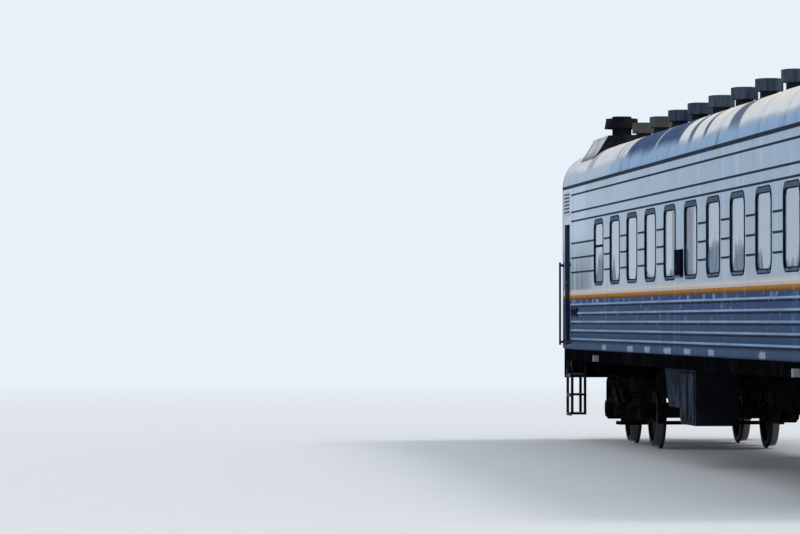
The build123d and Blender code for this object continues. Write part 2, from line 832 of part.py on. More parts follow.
with BuildPart() as step:
    hanger_bottom = rail_top + tread_heights[-1] - tread_thickness
    hanger_middle = (hanger_bottom + underframe_bottom) / 2
    tread_y = step_face_y - tread_depth / 2
    with Locations((step_x, tread_y, hanger_middle)):
        with GridLocations(step_width, tread_depth - hanger_depth, 2, 2):
            Box(hanger_bar, hanger_depth, underframe_bottom - hanger_bottom)
    for height in tread_heights:
        with Locations((step_x, tread_y, rail_top + height - tread_thickness / 2)):
            Box(step_width, tread_depth, tread_thickness)
        with Locations((step_x, step_face_y - hanger_bar / 2, rail_top + height - tread_lip / 2)):
            Box(step_width, hanger_bar, tread_lip)

with BuildPart() as steps:
    add(step.part)
    mirror(step.part, about=Plane.XZ)
    mirror(step.part, about=Plane.YZ)
    mirror(mirror(step.part, about=Plane.XZ, mode=Mode.PRIVATE), about=Plane.YZ)
save(steps, "steps")

# Handrails beside the side doors, held off the wall by a foot at each end.
rail_radius = 16
rail_stand = 60
foot_inset = 45
foot_radius = 20
rail_bottom = rail_top + 1375
rail_height = 1225
# Columns: place along the coach of each rail, one on the wall and one on the corner post.
rail_places = [door_low - 60, door_high + 70]

with BuildPart() as rail_pair:
    for x in rail_places:
        with BuildSketch(Plane.XY.offset(rail_bottom)):
            with Locations((x, half_width + rail_stand)):
                Circle(rail_radius)
        extrude(amount=rail_height)
        for z in (rail_bottom + foot_inset, rail_bottom + rail_height - foot_inset):
            with Locations((x, half_width + rail_stand / 2, z)):
                Cylinder(foot_radius, rail_stand, rotation=(90, 0, 0))

with BuildPart() as handrails:
    add(rail_pair.part)
    mirror(rail_pair.part, about=Plane.XZ)
    mirror(rail_pair.part, about=Plane.YZ)
    mirror(mirror(rail_pair.part, about=Plane.XZ, mode=Mode.PRIVATE), about=Plane.YZ)
save(handrails, "handrails")

# Tail lamps on the end walls.
lamp_y = 1220
lamp_height = rail_top + 1750
lamp_radius = 70
lamp_depth = 55

with BuildPart() as tail_lamps:
    for end in (-1, 1):
        with Locations(*[(end * (half_length + lamp_depth / 2), s * lamp_y, lamp_height) for s in (-1, 1)]):
            Cylinder(lamp_radius, lamp_depth, rotation=(0, 90, 0))
save(tail_lamps, "tail_lamps")

# Blank route board holders in the middle of both sides: a plate with a tray for the board along
# its foot, a low cheek at one side and a deep one at the other.
board_width = 590
board_height = 333
board_middle = -46
board_bottom = rail_top + 2252
board_thickness = 8
board_corner = 20
tray_height = 178
tray_thickness = 14
cheek_width = 40
cheek_proud = 30
low_cheek_proud = 14
tray_lip = 26

with BuildPart() as board_holder:
    with BuildSketch(Plane.XZ.offset(-(half_width + seam + board_thickness))):
        with Locations((board_middle, board_bottom + board_height / 2)):
            RectangleRounded(board_width, board_height, board_corner)
    extrude(amount=board_thickness)
    board_face = half_width + seam + board_thickness
    with Locations((board_middle, board_face + tray_thickness / 2, board_bottom + tray_height / 2)):
        Box(board_width - 2 * cheek_width, tray_thickness, tray_height)
    with Locations((board_middle, board_face + tray_lip / 2, board_bottom + tray_thickness / 2)):
        Box(board_width - 2 * cheek_width, tray_lip, tray_thickness)
    right_x = board_middle + (board_width - cheek_width) / 2
    with Locations((right_x, board_face + cheek_proud / 2, board_bottom + board_height / 2)):
        Box(cheek_width, cheek_proud, board_height)
    left_x = board_middle - (board_width - cheek_width) / 2
    with Locations((left_x, board_face + low_cheek_proud / 2, board_bottom + board_height / 2)):
        Box(cheek_width, low_cheek_proud, board_height)

with BuildPart() as route_board_holders:
    add(board_holder.part)
    mirror(board_holder.part, about=Plane.XZ)
save(route_board_holders, "route_board_holders")

# Underfloor equipment hung from the cross members, set in from the outer face of the solebars.
gear_face = half_width - 120
lid_thickness = 14
lid_margin = 45
lid_corner = 30
latch_width = 70
latch_height = 45
battery_x = (-770, 440)
battery_depth = 520
battery_bottom = rail_top + 480
battery_lids = 2

with BuildPart() as battery_box:
    battery_middle = (battery_x[0] + battery_x[1]) / 2
    battery_length = battery_x[1] - battery_x[0]
    battery_height = underframe_bottom - battery_bottom
    battery_z = battery_bottom + battery_height / 2
    with Locations((battery_middle, -(gear_face - battery_depth / 2), battery_z)):
        Box(battery_length, battery_depth, battery_height)
    lid_length = battery_length / battery_lids - 2 * lid_margin
    with BuildSketch(Plane.XZ.offset(gear_face)):
        with Locations((battery_middle, battery_z)):
            with GridLocations(battery_length / battery_lids, 0, battery_lids, 1):
                RectangleRounded(lid_length, battery_height - 2 * lid_margin, lid_corner)
    extrude(amount=lid_thickness)
    with BuildSketch(Plane.XZ.offset(gear_face + lid_thickness)):
        with Locations((battery_middle, battery_bottom + lid_margin + latch_height)):
            with GridLocations(battery_length / battery_lids, 0, battery_lids, 1):
                Rectangle(latch_width, latch_height)
    extrude(amount=lid_thickness)
save(battery_box, "battery_box")

# Two plain cabinets at the aisle side, and at the bay side a tank whose end slopes in to its foot.
# Columns: low and high x, depth, bottom height.
cabinets = [
    (-3900, -2100, 640, rail_top + 620),
    (1300, 3100, 590, rail_top + 700),
]
tank_x = (-2100, -860)
tank_foot_x = -1780
tank_depth = 330
tank_bottom = rail_top + 670
tank_roll = 110

with BuildPart() as equipment_boxes:
    for x0, x1, depth, bottom in cabinets:
        height = underframe_bottom - bottom
        with Locations(((x0 + x1) / 2, gear_face - depth / 2, bottom + height / 2)):
            Box(x1 - x0, depth, height)
        with BuildSketch(Plane.XZ.offset(-(gear_face + lid_thickness))):
            with Locations(((x0 + x1) / 2, bottom + height / 2)):
                RectangleRounded(x1 - x0 - 2 * lid_margin, height - 2 * lid_margin, lid_corner)
        extrude(amount=lid_thickness)
    with BuildSketch(Plane.XZ.offset(gear_face - tank_depth)):
        with BuildLine():
            Polyline(
                (tank_x[0], underframe_bottom),
                (tank_x[1], underframe_bottom),
                (tank_x[1], tank_bottom),
                (tank_foot_x, tank_bottom),
                close=True,
            )
        tank_face = make_face()
        fillet(tank_face.vertices().group_by(Axis.Y)[0], radius=tank_roll)
    extrude(amount=tank_depth)
save(equipment_boxes, "equipment_boxes")

# Air reservoirs: drums with domed ends, each held under its cross member by a saddle and two straps.
reservoir_radius = 200
reservoir_length = 1100
reservoir_dome = 70
reservoir_drop = 25
strap_proud = 8
strap_width = 50
strap_spacing = 560
reservoir_z = underframe_bottom - reservoir_drop - reservoir_radius
# Columns: centre x, centre y.
reservoirs = [(-3400, -1100), (5100, -1000), (5100, 1000)]

with BuildPart() as reservoir:
    with BuildSketch(Plane.XZ):
        with BuildLine():
            drum_end = reservoir_length / 2
            Polyline(
                (-drum_end, 0),
                (-drum_end, reservoir_radius / 2),
                (-drum_end + reservoir_dome, reservoir_radius),
                (drum_end - reservoir_dome, reservoir_radius),
                (drum_end, reservoir_radius / 2),
                (drum_end, 0),
                close=True,
            )
        make_face()
        for shift in (-1, 1):
            with Locations((shift * strap_spacing / 2, (reservoir_radius + strap_proud) / 2)):
                Rectangle(strap_width, reservoir_radius + strap_proud)
    revolve(axis=Axis.X)
    with Locations((0, 0, reservoir_radius / 2 + reservoir_drop)):
        Box(cross_member_width, reservoir_radius, reservoir_radius)

with BuildPart() as air_reservoirs:
    with Locations(*[(x, y, reservoir_z) for x, y in reservoirs]):
        add(reservoir.part)
save(air_reservoirs, "air_reservoirs")

# Brake cylinder under two hangers, and the pull rods that run from it towards both bogies
# through a stirrup under each of their cross members.
brake_x = -1500
brake_y = 380
brake_radius = 178
brake_length = 520
brake_drop = 30
brake_hanger = 60
brake_hanger_x = 200
rod_radius = 18
rod_y = 600
rod_drop = 230
rod_reach = 5600
stirrup_bar = 20
stirrup_half = 70
# Stirrups hang from these cross members, counted from the middle one.
stirrup_members = [-3, -2, -1, 1, 2, 3]

with BuildPart() as brake_cylinder:
    with Locations((brake_x, brake_y, underframe_bottom - brake_radius - brake_drop)):
        Cylinder(brake_radius, brake_length, rotation=along)
    for shift in (-brake_hanger_x, brake_hanger_x):
        with Locations((brake_x + shift, brake_y, underframe_bottom - brake_hanger)):
            Box(brake_hanger, 4 * brake_hanger, 2 * brake_hanger)
save(brake_cylinder, "brake_cylinder")

with BuildPart() as brake_rods:
    rod_z = underframe_bottom - rod_drop
    with Locations((0, -rod_y, rod_z)):
        Cylinder(rod_radius, 2 * rod_reach, rotation=along)
    stirrup_height = underframe_bottom - rod_z + rod_radius + stirrup_bar
    for member in stirrup_members:
        x = member * cross_member_pitch
        for shift in (-1, 1):
            with Locations((x, -rod_y + shift * stirrup_half, underframe_bottom - stirrup_height / 2)):
                Box(stirrup_bar, stirrup_bar, stirrup_height)
        with Locations((x, -rod_y, underframe_bottom - stirrup_height + stirrup_bar / 2)):
            Box(stirrup_bar, 2 * stirrup_half + stirrup_bar, stirrup_bar)
save(brake_rods, "brake_rods")

# Interior: bay partitions with berths on both faces, aisle berths, tables at the windows,
# and cross walls with a passage at the ends of the saloon and at both vestibules.
partition = 36
bay_depth = 1820
partition_height = 2080
bay_y = -inner_width + bay_depth / 2
partition_x = [(i - window_count / 2) * window_pitch for i in range(window_count + 1)]
saloon_end = partition_x[-1]
vestibule_wall_x = panel_end - 110

with BuildPart() as bay_partitions:
    with Locations(*[(x, bay_y, floor_top + partition_height / 2) for x in partition_x[1:-1]]):
        Box(partition, bay_depth, partition_height)
save(bay_partitions, "bay_partitions")

passage_y = 640
passage_width = 700
passage_head = floor_top + 2000
ceiling_gap = seam

with BuildPart() as end_partitions:
    for x in (-vestibule_wall_x, -saloon_end, saloon_end, vestibule_wall_x):
        with BuildSketch(Plane.YZ.offset(x - partition / 2)):
            with BuildLine():
                roof_outline(wall + ceiling_gap, floor_top)
            make_face()
            with Locations((passage_y, (floor_top + passage_head) / 2)):
                Rectangle(passage_width, passage_head - floor_top, mode=Mode.SUBTRACT)
            with Locations((0, passage_head)):
                Rectangle(body_width, seam, mode=Mode.SUBTRACT)
        extrude(amount=partition)
save(end_partitions, "end_partitions")

berth_width = 560
berth_length = 1780
berth_thickness = 60
lower_berth = floor_top + 450
upper_berth = floor_top + 1360
aisle_berth_width = 500
aisle_berth_length = 1600

with BuildPart() as berths:
    for x in partition_x[:-1]:
        for offset in (partition / 2 + berth_width / 2, window_pitch - partition / 2 - berth_width / 2):
            for z in (lower_berth, upper_berth):
                with Locations((x + offset, -inner_width + berth_length / 2, z - berth_thickness / 2)):
                    Box(berth_width, berth_length, berth_thickness)
    for x in window_x:
        for z in (lower_berth, upper_berth):
            with Locations((x, inner_width - aisle_berth_width / 2, z - berth_thickness / 2)):
                Box(aisle_berth_length, aisle_berth_width, berth_thickness)
save(berths, "berths")

table_width = 440
table_depth = 520
table_height = floor_top + 760
table_thickness = 25

with BuildPart() as tables:
    table_y = -inner_width + table_depth / 2
    with Locations(*[(x, table_y, table_height - table_thickness / 2) for x in window_x]):
        Box(table_width, table_depth, table_thickness)
save(tables, "tables")

# Bogies. Heights are from the flange bottoms, lengths from the bogie's centre.
beam_y = 1018
beam_width = 150
beam_half_length = 1830
beam_top = 980
beam_bottom = 800
arch_bottom = 885
arch_half = 380
arch_run = 180
nose_run = 330
nose_height = 110
tail_length = 60
tail_bottom = 470
tail_roll = 90
cross_beam_x = 540
cross_beam_width = 140
cross_beam_top = 960
end_beam_x = 1780
end_beam_width = 90
box_radius = 152
box_cover_radius = 118
box_cover = 30
box_neck = 60
box_inner_y = 930
box_outer_y = 1150
wing_reach = 330
wing_bottom = axle_height - 100
wing_thickness = 40
spring_x = 235
spring_radius = 78
spring_wire = 16
spring_turns = 3
spring_seat_radius = 80
spring_seat = 18
bore_clearance = 0.3
journal_clearance = 10
bolster_half_width = 190
bolster_half_length = 1170
bolster_bottom = 700
bolster_top = 860
bowl_radius = 240
bowl_top = sill_bottom - sill_depth - centre_plate_drop - seam
plank_bottom = 300
plank_thickness = 45
centre_spring_radius = 115
centre_spring_y = 1018
hanger_x = 300
hanger_radius = 20
shelf_width = 120
shelf_reach = 45
damper_radius = 38
damper_rod_radius = 22
damper_eye = 40
damper_eye_width = 60
damper_pin_radius = 20
damper_low = (-430, 560)
damper_high = (330, 930)
damper_gap = 10
damper_body = 0.55
bracket_thickness = 40
bracket_root = (-150, 780)
bracket_half = 60
shoe_gap = 8
shoe_thickness = 60
shoe_width = 80
shoe_height = 300
shoe_inset = 45
shoe_y = back_to_back / 2 + rim_width - shoe_inset
shoe_hanger_width = 40
shoe_hanger_thickness = 30
shoe_hanger_shift = 40
brake_beam_width = 50
brake_beam_height = 60
brake_beam_drop = 40

with BuildPart() as bogie_frame:
    with BuildSketch(Plane.XZ.offset(-(beam_y + beam_width / 2))):
        with BuildLine():
            Polyline(
                (0, beam_top),
                (beam_half_length - nose_run, beam_top),
                (beam_half_length, beam_bottom + nose_height),
                (beam_half_length, tail_bottom),
                (beam_half_length - tail_length, tail_bottom),
                (beam_half_length - tail_length, beam_bottom),
                (arch_half + arch_run, beam_bottom),
                (arch_half, arch_bottom),
                (0, arch_bottom),
                close=True,
            )
        make_face()
        mirror(about=Plane.YZ)
    extrude(amount=beam_width)
    noses = bogie_frame.edges().filter_by(Axis.Y).filter_by_position(Axis.Z, beam_bottom + 1, beam_top)
    fillet(noses, radius=tail_roll)
    mirror(about=Plane.XZ)
    with Locations(*[(i * cross_beam_x, 0, (beam_bottom + cross_beam_top) / 2) for i in (-1, 1)]):
        Box(cross_beam_width, 2 * beam_y, cross_beam_top - beam_bottom)
    with Locations(*[(i * end_beam_x, 0, (beam_bottom + cross_beam_top) / 2) for i in (-1, 1)]):
        Box(end_beam_width, 2 * beam_y, cross_beam_top - beam_bottom)

with BuildPart() as damper_bracket:
    with BuildSketch(Plane.XZ.offset(-bolster_half_length)):
        with BuildLine():
            Polyline(
                (bracket_root[0], bracket_root[1] - bracket_half),
                (bracket_root[0], bracket_root[1] + bracket_half),
                (damper_low[0] + bracket_half, damper_low[1] + 2 * bracket_half),
                (damper_low[0] - bracket_half, damper_low[1] + bracket_half),
                (damper_low[0] - bracket_half, damper_low[1] - bracket_half),
                (damper_low[0] + bracket_half, damper_low[1] - bracket_half),
                close=True,
            )
        make_face()
    extrude(amount=bracket_thickness)

with BuildPart() as swing_bolster:
    add(damper_bracket.part)
    mirror(mirror(damper_bracket.part, about=Plane.XZ, mode=Mode.PRIVATE), about=Plane.YZ)
    with Locations((0, 0, (bolster_bottom + bolster_top) / 2)):
        Box(2 * bolster_half_width, 2 * bolster_half_length, bolster_top - bolster_bottom)
    with BuildSketch(Plane.XY.offset(bolster_top)):
        Circle(bowl_radius)
    extrude(amount=bowl_top - bolster_top)
    with Locations((0, 0, plank_bottom + plank_thickness / 2)):
        Box(2 * bolster_half_width, 2 * bolster_half_length, plank_thickness)
    for side in (-1, 1):
        with Locations((0, side * centre_spring_y, bolster_bottom - plank_thickness / 4)):
            Cylinder(centre_spring_radius + spring_wire, plank_thickness / 2)
    for x in (-hanger_x, hanger_x):
        for y in (-beam_y, beam_y):
            with BuildSketch(Plane.XY.offset(plank_bottom + plank_thickness)):
                with Locations((x, y)):
                    Circle(hanger_radius)
            extrude(amount=arch_bottom - plank_bottom - plank_thickness)
            shelf_x = x / 2 + (shelf_reach if x > 0 else -shelf_reach)
            with Locations((shelf_x, y, plank_bottom + plank_thickness / 2)):
                Box(hanger_x, shelf_width, plank_thickness)

spring_bottom = wing_bottom + wing_thickness
centre_spring_bottom = plank_bottom + plank_thickness
centre_spring_top = bolster_bottom - plank_thickness / 2


def coil_outline(radius, bottom, top):
    """Half of a coil spring's outline: the turns stand out, and the gaps between them go in."""
    rise = (top - bottom) / spring_turns
    corners = [(0, bottom), (radius - spring_wire, bottom)]
    for turn in range(spring_turns):
        corners.append((radius, bottom + (turn + 0.5) * rise))
        corners.append((radius - spring_wire, bottom + (turn + 1) * rise))
    corners.append((0, top))
    Polyline(*corners, close=True)


with BuildPart() as axle_spring:
    with BuildSketch(Plane.XZ):
        with BuildLine():
            coil_outline(spring_radius, spring_bottom + spring_seat, beam_bottom)
        make_face()
    revolve(axis=Axis.Z)
    with BuildSketch(Plane.XY.offset(spring_bottom)):
        Circle(spring_seat_radius)
    extrude(amount=spring_seat)

with BuildPart() as centre_spring:
    with BuildSketch(Plane.XZ):
        with BuildLine():
            coil_outline(centre_spring_radius, centre_spring_bottom, centre_spring_top)
        make_face()
    revolve(axis=Axis.Z)

with BuildPart() as springs:
    with Locations(*[
        (axle * wheelbase / 2 + shift, side * beam_y, 0)
        for axle in (-1, 1)
        for side in (-1, 1)
        for shift in (-spring_x, spring_x)
    ]):
        add(axle_spring.part)
    with Locations(*[(0, side * centre_spring_y, 0) for side in (-1, 1)]):
        add(centre_spring.part)

# Axle box: a round housing with a cover, and a wing each side that the springs stand on.
with BuildPart() as axle_box:
    with BuildSketch(Plane.XZ.offset(-box_outer_y)):
        with Locations((0, axle_height)):
            Circle(box_radius)
        with Locations((0, wing_bottom + box_neck / 2)):
            Rectangle(2 * box_radius, box_neck)
    extrude(amount=box_outer_y - box_inner_y)
    with BuildSketch(Plane.XY.offset(wing_bottom)):
        with Locations((0, beam_y)):
            RectangleRounded(2 * wing_reach, beam_width, beam_width / 2 - bore_clearance)
    extrude(amount=wing_thickness)
    with BuildSketch(Plane.XZ.offset(-(box_outer_y + box_cover))):
        with Locations((0, axle_height)):
            Circle(box_cover_radius)
    extrude(amount=box_cover)
    with BuildSketch(Plane.XZ.offset(-(journal_reach + journal_clearance))):
        with Locations((0, axle_height)):
            Circle(journal_radius + bore_clearance)
    extrude(amount=journal_reach + journal_clearance - box_inner_y, mode=Mode.SUBTRACT)

with BuildPart() as axle_box_pair:
    add(axle_box.part)
    mirror(axle_box.part, about=Plane.XZ)

with BuildPart() as axle_boxes:
    with Locations(*[(axle * wheelbase / 2, 0, 0) for axle in (-1, 1)]):
        add(axle_box_pair.part)

# Dampers: one on each side of the bogie, slanting from the bolster up to the side beam.
# Each is drawn upright at its foot and then leaned over, with a pin at both eyes.
damper_run = damper_high[0] - damper_low[0]
damper_rise = damper_high[1] - damper_low[1]
damper_length = sqrt(damper_run ** 2 + damper_rise ** 2)
damper_lean = atan2(damper_run, damper_rise)
damper_y = bolster_half_length + damper_gap + damper_radius
damper_plane = Plane(
    origin=(damper_low[0], damper_y, damper_low[1]),
    x_dir=(0, 1, 0),
    z_dir=(sin(damper_lean), 0, cos(damper_lean)),
)

with BuildPart() as damper:
    with BuildSketch(damper_plane):
        Circle(damper_radius)
    extrude(amount=damper_length * damper_body)
    with BuildSketch(damper_plane.offset(damper_length * damper_body)):
        Circle(damper_rod_radius)
    extrude(amount=damper_length * (1 - damper_body))
    for x, z in (damper_low, damper_high):
        with BuildSketch(Plane.XZ.offset(-(damper_y + damper_eye_width / 2))):
            with Locations((x, z)):
                Circle(damper_eye)
        extrude(amount=damper_eye_width)
    # The low pin is carried by the bolster's bracket and the high one by the side beam.
    for (x, z), seat in ((damper_low, bolster_half_length), (damper_high, beam_y + beam_width / 2)):
        with BuildSketch(Plane.XZ.offset(-damper_y)):
            with Locations((x, z)):
                Circle(damper_pin_radius)
        extrude(amount=damper_y - seat - seam)

with BuildPart() as dampers:
    add(damper.part)
    mirror(mirror(damper.part, about=Plane.XZ, mode=Mode.PRIVATE), about=Plane.YZ)

with BuildPart() as brake_gear:
    for axle in (-1, 1):
        for face in (-1, 1):
            shoe_x = axle * wheelbase / 2 + face * (tread_radius + shoe_gap + shoe_thickness / 2)
            inward = axle * face < 0
            hang_x = axle * (cross_beam_x + shoe_hanger_shift) if inward else axle * end_beam_x
            half = shoe_hanger_width / 2
            for side in (-1, 1):
                with Locations((shoe_x, side * shoe_y, axle_height)):
                    Box(shoe_thickness, shoe_width, shoe_height)
                with BuildSketch(Plane.XZ.offset(-side * shoe_y - shoe_hanger_thickness / 2)):
                    with BuildLine():
                        foot = shoe_x + face * shoe_thickness / 2
                        Polyline(
                            (foot - half, axle_height - half),
                            (foot + half, axle_height - half),
                            (hang_x + half, beam_bottom),
                            (hang_x - half, beam_bottom),
                            close=True,
                        )
                    make_face()
                extrude(amount=shoe_hanger_thickness)
            with Locations((shoe_x + face * (shoe_thickness / 2 + half), 0, axle_height - brake_beam_drop)):
                Box(brake_beam_width, 2 * shoe_y, brake_beam_height)
    for axle in (-1, 1):
        with Locations((axle * wheelbase / 2, 0, axle_height)):
            Cylinder(tread_radius + shoe_gap, 2 * beam_y, rotation=(90, 0, 0), mode=Mode.SUBTRACT)

# Wheelset: half of its outline from the middle of the axle out to the end of the journal.
axle_radius = 82
hub_radius = 130
hub_proud = 20
rim_radius = 402
web_thickness_hub = 50
web_thickness_rim = 25
web_offset_hub = 40
web_offset_rim = 62
flange_width = 32
flange_top = 12
flange_bevel = 9
rim_bevel = 10
tread_fall = 4

with BuildPart() as wheelset:
    with BuildSketch(Plane.XY):
        with BuildLine():
            inner = back_to_back / 2
            outer = inner + rim_width
            tip = tread_radius + flange_height
            Polyline(
                (0, 0),
                (axle_radius, 0),
                (axle_radius, inner - hub_proud),
                (hub_radius, inner - hub_proud),
                (hub_radius, inner + web_offset_hub),
                (rim_radius, inner + web_offset_rim),
                (rim_radius, inner),
                (tip - flange_bevel, inner),
                (tip, inner + flange_bevel),
                (tip, inner + flange_bevel + flange_top),
                (tread_radius, inner + flange_width + flange_bevel),
                (tread_radius - tread_fall, outer - rim_bevel),
                (tread_radius - rim_bevel, outer),
                (rim_radius, outer),
                (rim_radius, inner + web_offset_rim + web_thickness_rim),
                (hub_radius, inner + web_offset_hub + web_thickness_hub),
                (hub_radius, outer + hub_proud),
                (axle_radius, outer + hub_proud),
                (axle_radius, box_inner_y - hub_proud),
                (journal_radius, box_inner_y - hub_proud),
                (journal_radius, journal_reach),
                (0, journal_reach),
                close=True,
            )
        make_face()
        mirror(about=Plane.XZ)
    revolve(axis=Axis.Y)

bogie_pieces = [
    (bogie_frame, "bogie_frame"),
    (swing_bolster, "swing_bolster"),
    (springs, "springs"),
    (dampers, "dampers"),
    (axle_boxes, "axle_boxes"),
    (brake_gear, "brake_gear"),
]

for letter, end in (("a", -1), ("b", 1)):
    for drawn, name in bogie_pieces:
        with BuildPart() as bogie_piece:
            with Locations((end * bogie_x, 0, 0)):
                add(drawn.part)
        save(bogie_piece, f"{name}_{letter}")
    for number, axle in ((1, -1), (2, 1)):
        with BuildPart() as wheelset_copy:
            with Locations((end * bogie_x + axle * wheelbase / 2, 0, axle_height)):
                add(wheelset.part)
        save(wheelset_copy, f"wheelset_{letter}{number}")
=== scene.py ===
# %% [markdown]
# A long-distance sleeping coach, dressed for its picture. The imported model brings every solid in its
# place. This file gives each of them a finish, adds the small repeated fittings that a drawing leaves
# out, and sets up the floor, the light and the camera. Lengths are metres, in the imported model's
# frame: X along the coach, end A at -X, bay side at -Y, Z up from the wheel flanges.

# %% Load the coach
import bpy
from math import cos, pi, radians, sin, sqrt
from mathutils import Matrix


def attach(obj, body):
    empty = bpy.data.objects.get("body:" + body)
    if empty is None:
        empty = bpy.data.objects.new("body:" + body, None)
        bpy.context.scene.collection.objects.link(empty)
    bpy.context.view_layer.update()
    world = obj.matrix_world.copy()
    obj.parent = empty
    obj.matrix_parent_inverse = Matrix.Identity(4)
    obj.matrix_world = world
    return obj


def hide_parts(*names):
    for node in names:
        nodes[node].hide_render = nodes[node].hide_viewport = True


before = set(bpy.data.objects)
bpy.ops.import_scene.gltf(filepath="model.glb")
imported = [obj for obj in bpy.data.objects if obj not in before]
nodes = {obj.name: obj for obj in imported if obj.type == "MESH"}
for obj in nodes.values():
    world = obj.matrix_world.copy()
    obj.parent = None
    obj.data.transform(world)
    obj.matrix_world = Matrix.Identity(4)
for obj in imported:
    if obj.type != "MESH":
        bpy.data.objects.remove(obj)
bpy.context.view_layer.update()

# %% [markdown]
# The camera comes first, because everything after it is seen through it. A long lens far behind the coach
# looks almost along its bay side: the body runs off the right edge of the picture, and its far corner stands
# in the middle. Position, turn and lens come from measuring the side's straight lines, so this camera is set
# once and then left alone.

# %% Camera
lens_length = 180.365
looks_up = 0.7758
looks_aside = 4.5123
camera = bpy.data.objects.new("camera", bpy.data.cameras.new("camera"))
camera.data.sensor_width = 36
camera.data.sensor_fit = "HORIZONTAL"
camera.data.lens = lens_length
camera.data.clip_end = 400
camera.location = (47.5777, -8.6725, 1.7532)
camera.rotation_euler = (radians(90 + looks_up), 0, radians(90 - looks_aside))
bpy.context.scene.collection.objects.link(camera)
bpy.context.scene.camera = camera
bpy.context.scene.view_settings.view_transform = "Standard"
print("camera at", [round(v, 2) for v in camera.location])

# %% [markdown]
# Light, finishes and fittings are all node trees, and all of them need the same few sums. This class
# holds a tree while it is built. A value may be a plain number or the output of another node, and
# feed takes either.


# %% A node tree under construction
class Tree:
    """A node tree under construction, with the sums that masks and sizes are made of."""

    def __init__(self, tree):
        self.tree = tree
        self.nodes = tree.nodes
        self.links = tree.links

    def feed(self, socket, value):
        if isinstance(value, bpy.types.NodeSocket):
            self.links.new(value, socket)
        else:
            socket.default_value = value

    def maths(self, operation, *values):
        node = self.nodes.new("ShaderNodeMath")
        node.operation = operation
        for socket, value in zip(node.inputs, values):
            self.feed(socket, value)
        return node.outputs[0]

    def chain(self, operation, values):
        total = values[0]
        for value in values[1:]:
            total = self.maths(operation, total, value)
        return total

    def times(self, *values):
        return self.chain("MULTIPLY", values)

    def most(self, *values):
        return self.chain("MAXIMUM", values)

    def plus(self, first, second):
        return self.maths("ADD", first, second)

    def minus(self, first, second):
        return self.maths("SUBTRACT", first, second)

    def divided(self, first, second):
        return self.maths("DIVIDE", first, second)

    def fraction(self, value):
        return self.maths("FRACT", value)

    def unsigned(self, value):
        return self.maths("ABSOLUTE", value)

    def apart(self, first, second):
        """How far two values lie apart, whichever is the larger."""
        return self.unsigned(self.minus(first, second))

    def distance(self, across, up):
        return self.maths("SQRT", self.plus(self.times(across, across), self.times(up, up)))

    def blend(self, amount, first, second):
        """Two shaders mixed: the first where amount is 0, the second where it is 1."""
        node = self.nodes.new("ShaderNodeMixShader")
        self.feed(node.inputs["Fac"], amount)
        self.links.new(first, node.inputs[1])
        self.links.new(second, node.inputs[2])
        return node.outputs[0]


# %% [markdown]
# Light: a pale even sky does nearly all the work, as it does on the shaded side of a coach standing in
# open country. One wide, soft sun high on the aisle side lifts the roof and the tops of ledges. The
# sky is a very pale blue to the camera and in reflections, and a little bluer as a light.

# %% Sky and sun
sky_strength = 0.82
sky_colour = (0.86, 0.93, 1.0, 1)
backdrop_colour = (0.81, 0.88, 0.95, 1)
world = bpy.data.worlds.new("pale_sky")
bpy.context.scene.world = world
world.use_nodes = True
sky = Tree(world.node_tree)
lighting = sky.nodes["Background"]
lighting.inputs["Color"].default_value = sky_colour
lighting.inputs["Strength"].default_value = sky_strength
backdrop = sky.nodes.new("ShaderNodeBackground")
backdrop.inputs["Color"].default_value = backdrop_colour
rays = sky.nodes.new("ShaderNodeLightPath").outputs
seen = sky.most(rays["Is Camera Ray"], rays["Is Glossy Ray"], rays["Is Transmission Ray"])
sky_surface = sky.blend(seen, lighting.outputs[0], backdrop.outputs[0])
sky.links.new(sky_surface, sky.nodes["World Output"].inputs["Surface"])

sun = bpy.data.objects.new("soft_sun", bpy.data.lights.new("soft_sun", "SUN"))
sun.data.energy = 0.95
sun.data.angle = radians(16)
sun.data.color = (1.0, 0.96, 0.89)
sun.rotation_euler = (radians(-38), radians(-12), 0)
bpy.context.scene.collection.objects.link(sun)
print("sky strength", sky_strength, "and sun", round(sun.data.energy, 2))

# %% [markdown]
# Colours are written as they are mixed at a screen, from 0 to 255. The shader works in linear light,
# so one small function turns them over.


# %% Paint values
def paint(red, green, blue):
    """A colour in screen values, 0 to 255, as the linear colour that a shader takes."""
    linear = []
    for value in (red / 255, green / 255, blue / 255):
        linear.append(value / 12.92 if value <= 0.04045 else ((value + 0.055) / 1.055) ** 2.4)
    return (*linear, 1.0)


# %% [markdown]
# Every finish on the coach is built from the same few moves: read the place on the object, make a
# soft mask from it, break it up with noise, and lay one colour over another. The masks run from 0 to
# 1, so that two of them multiplied keep only what both cover.


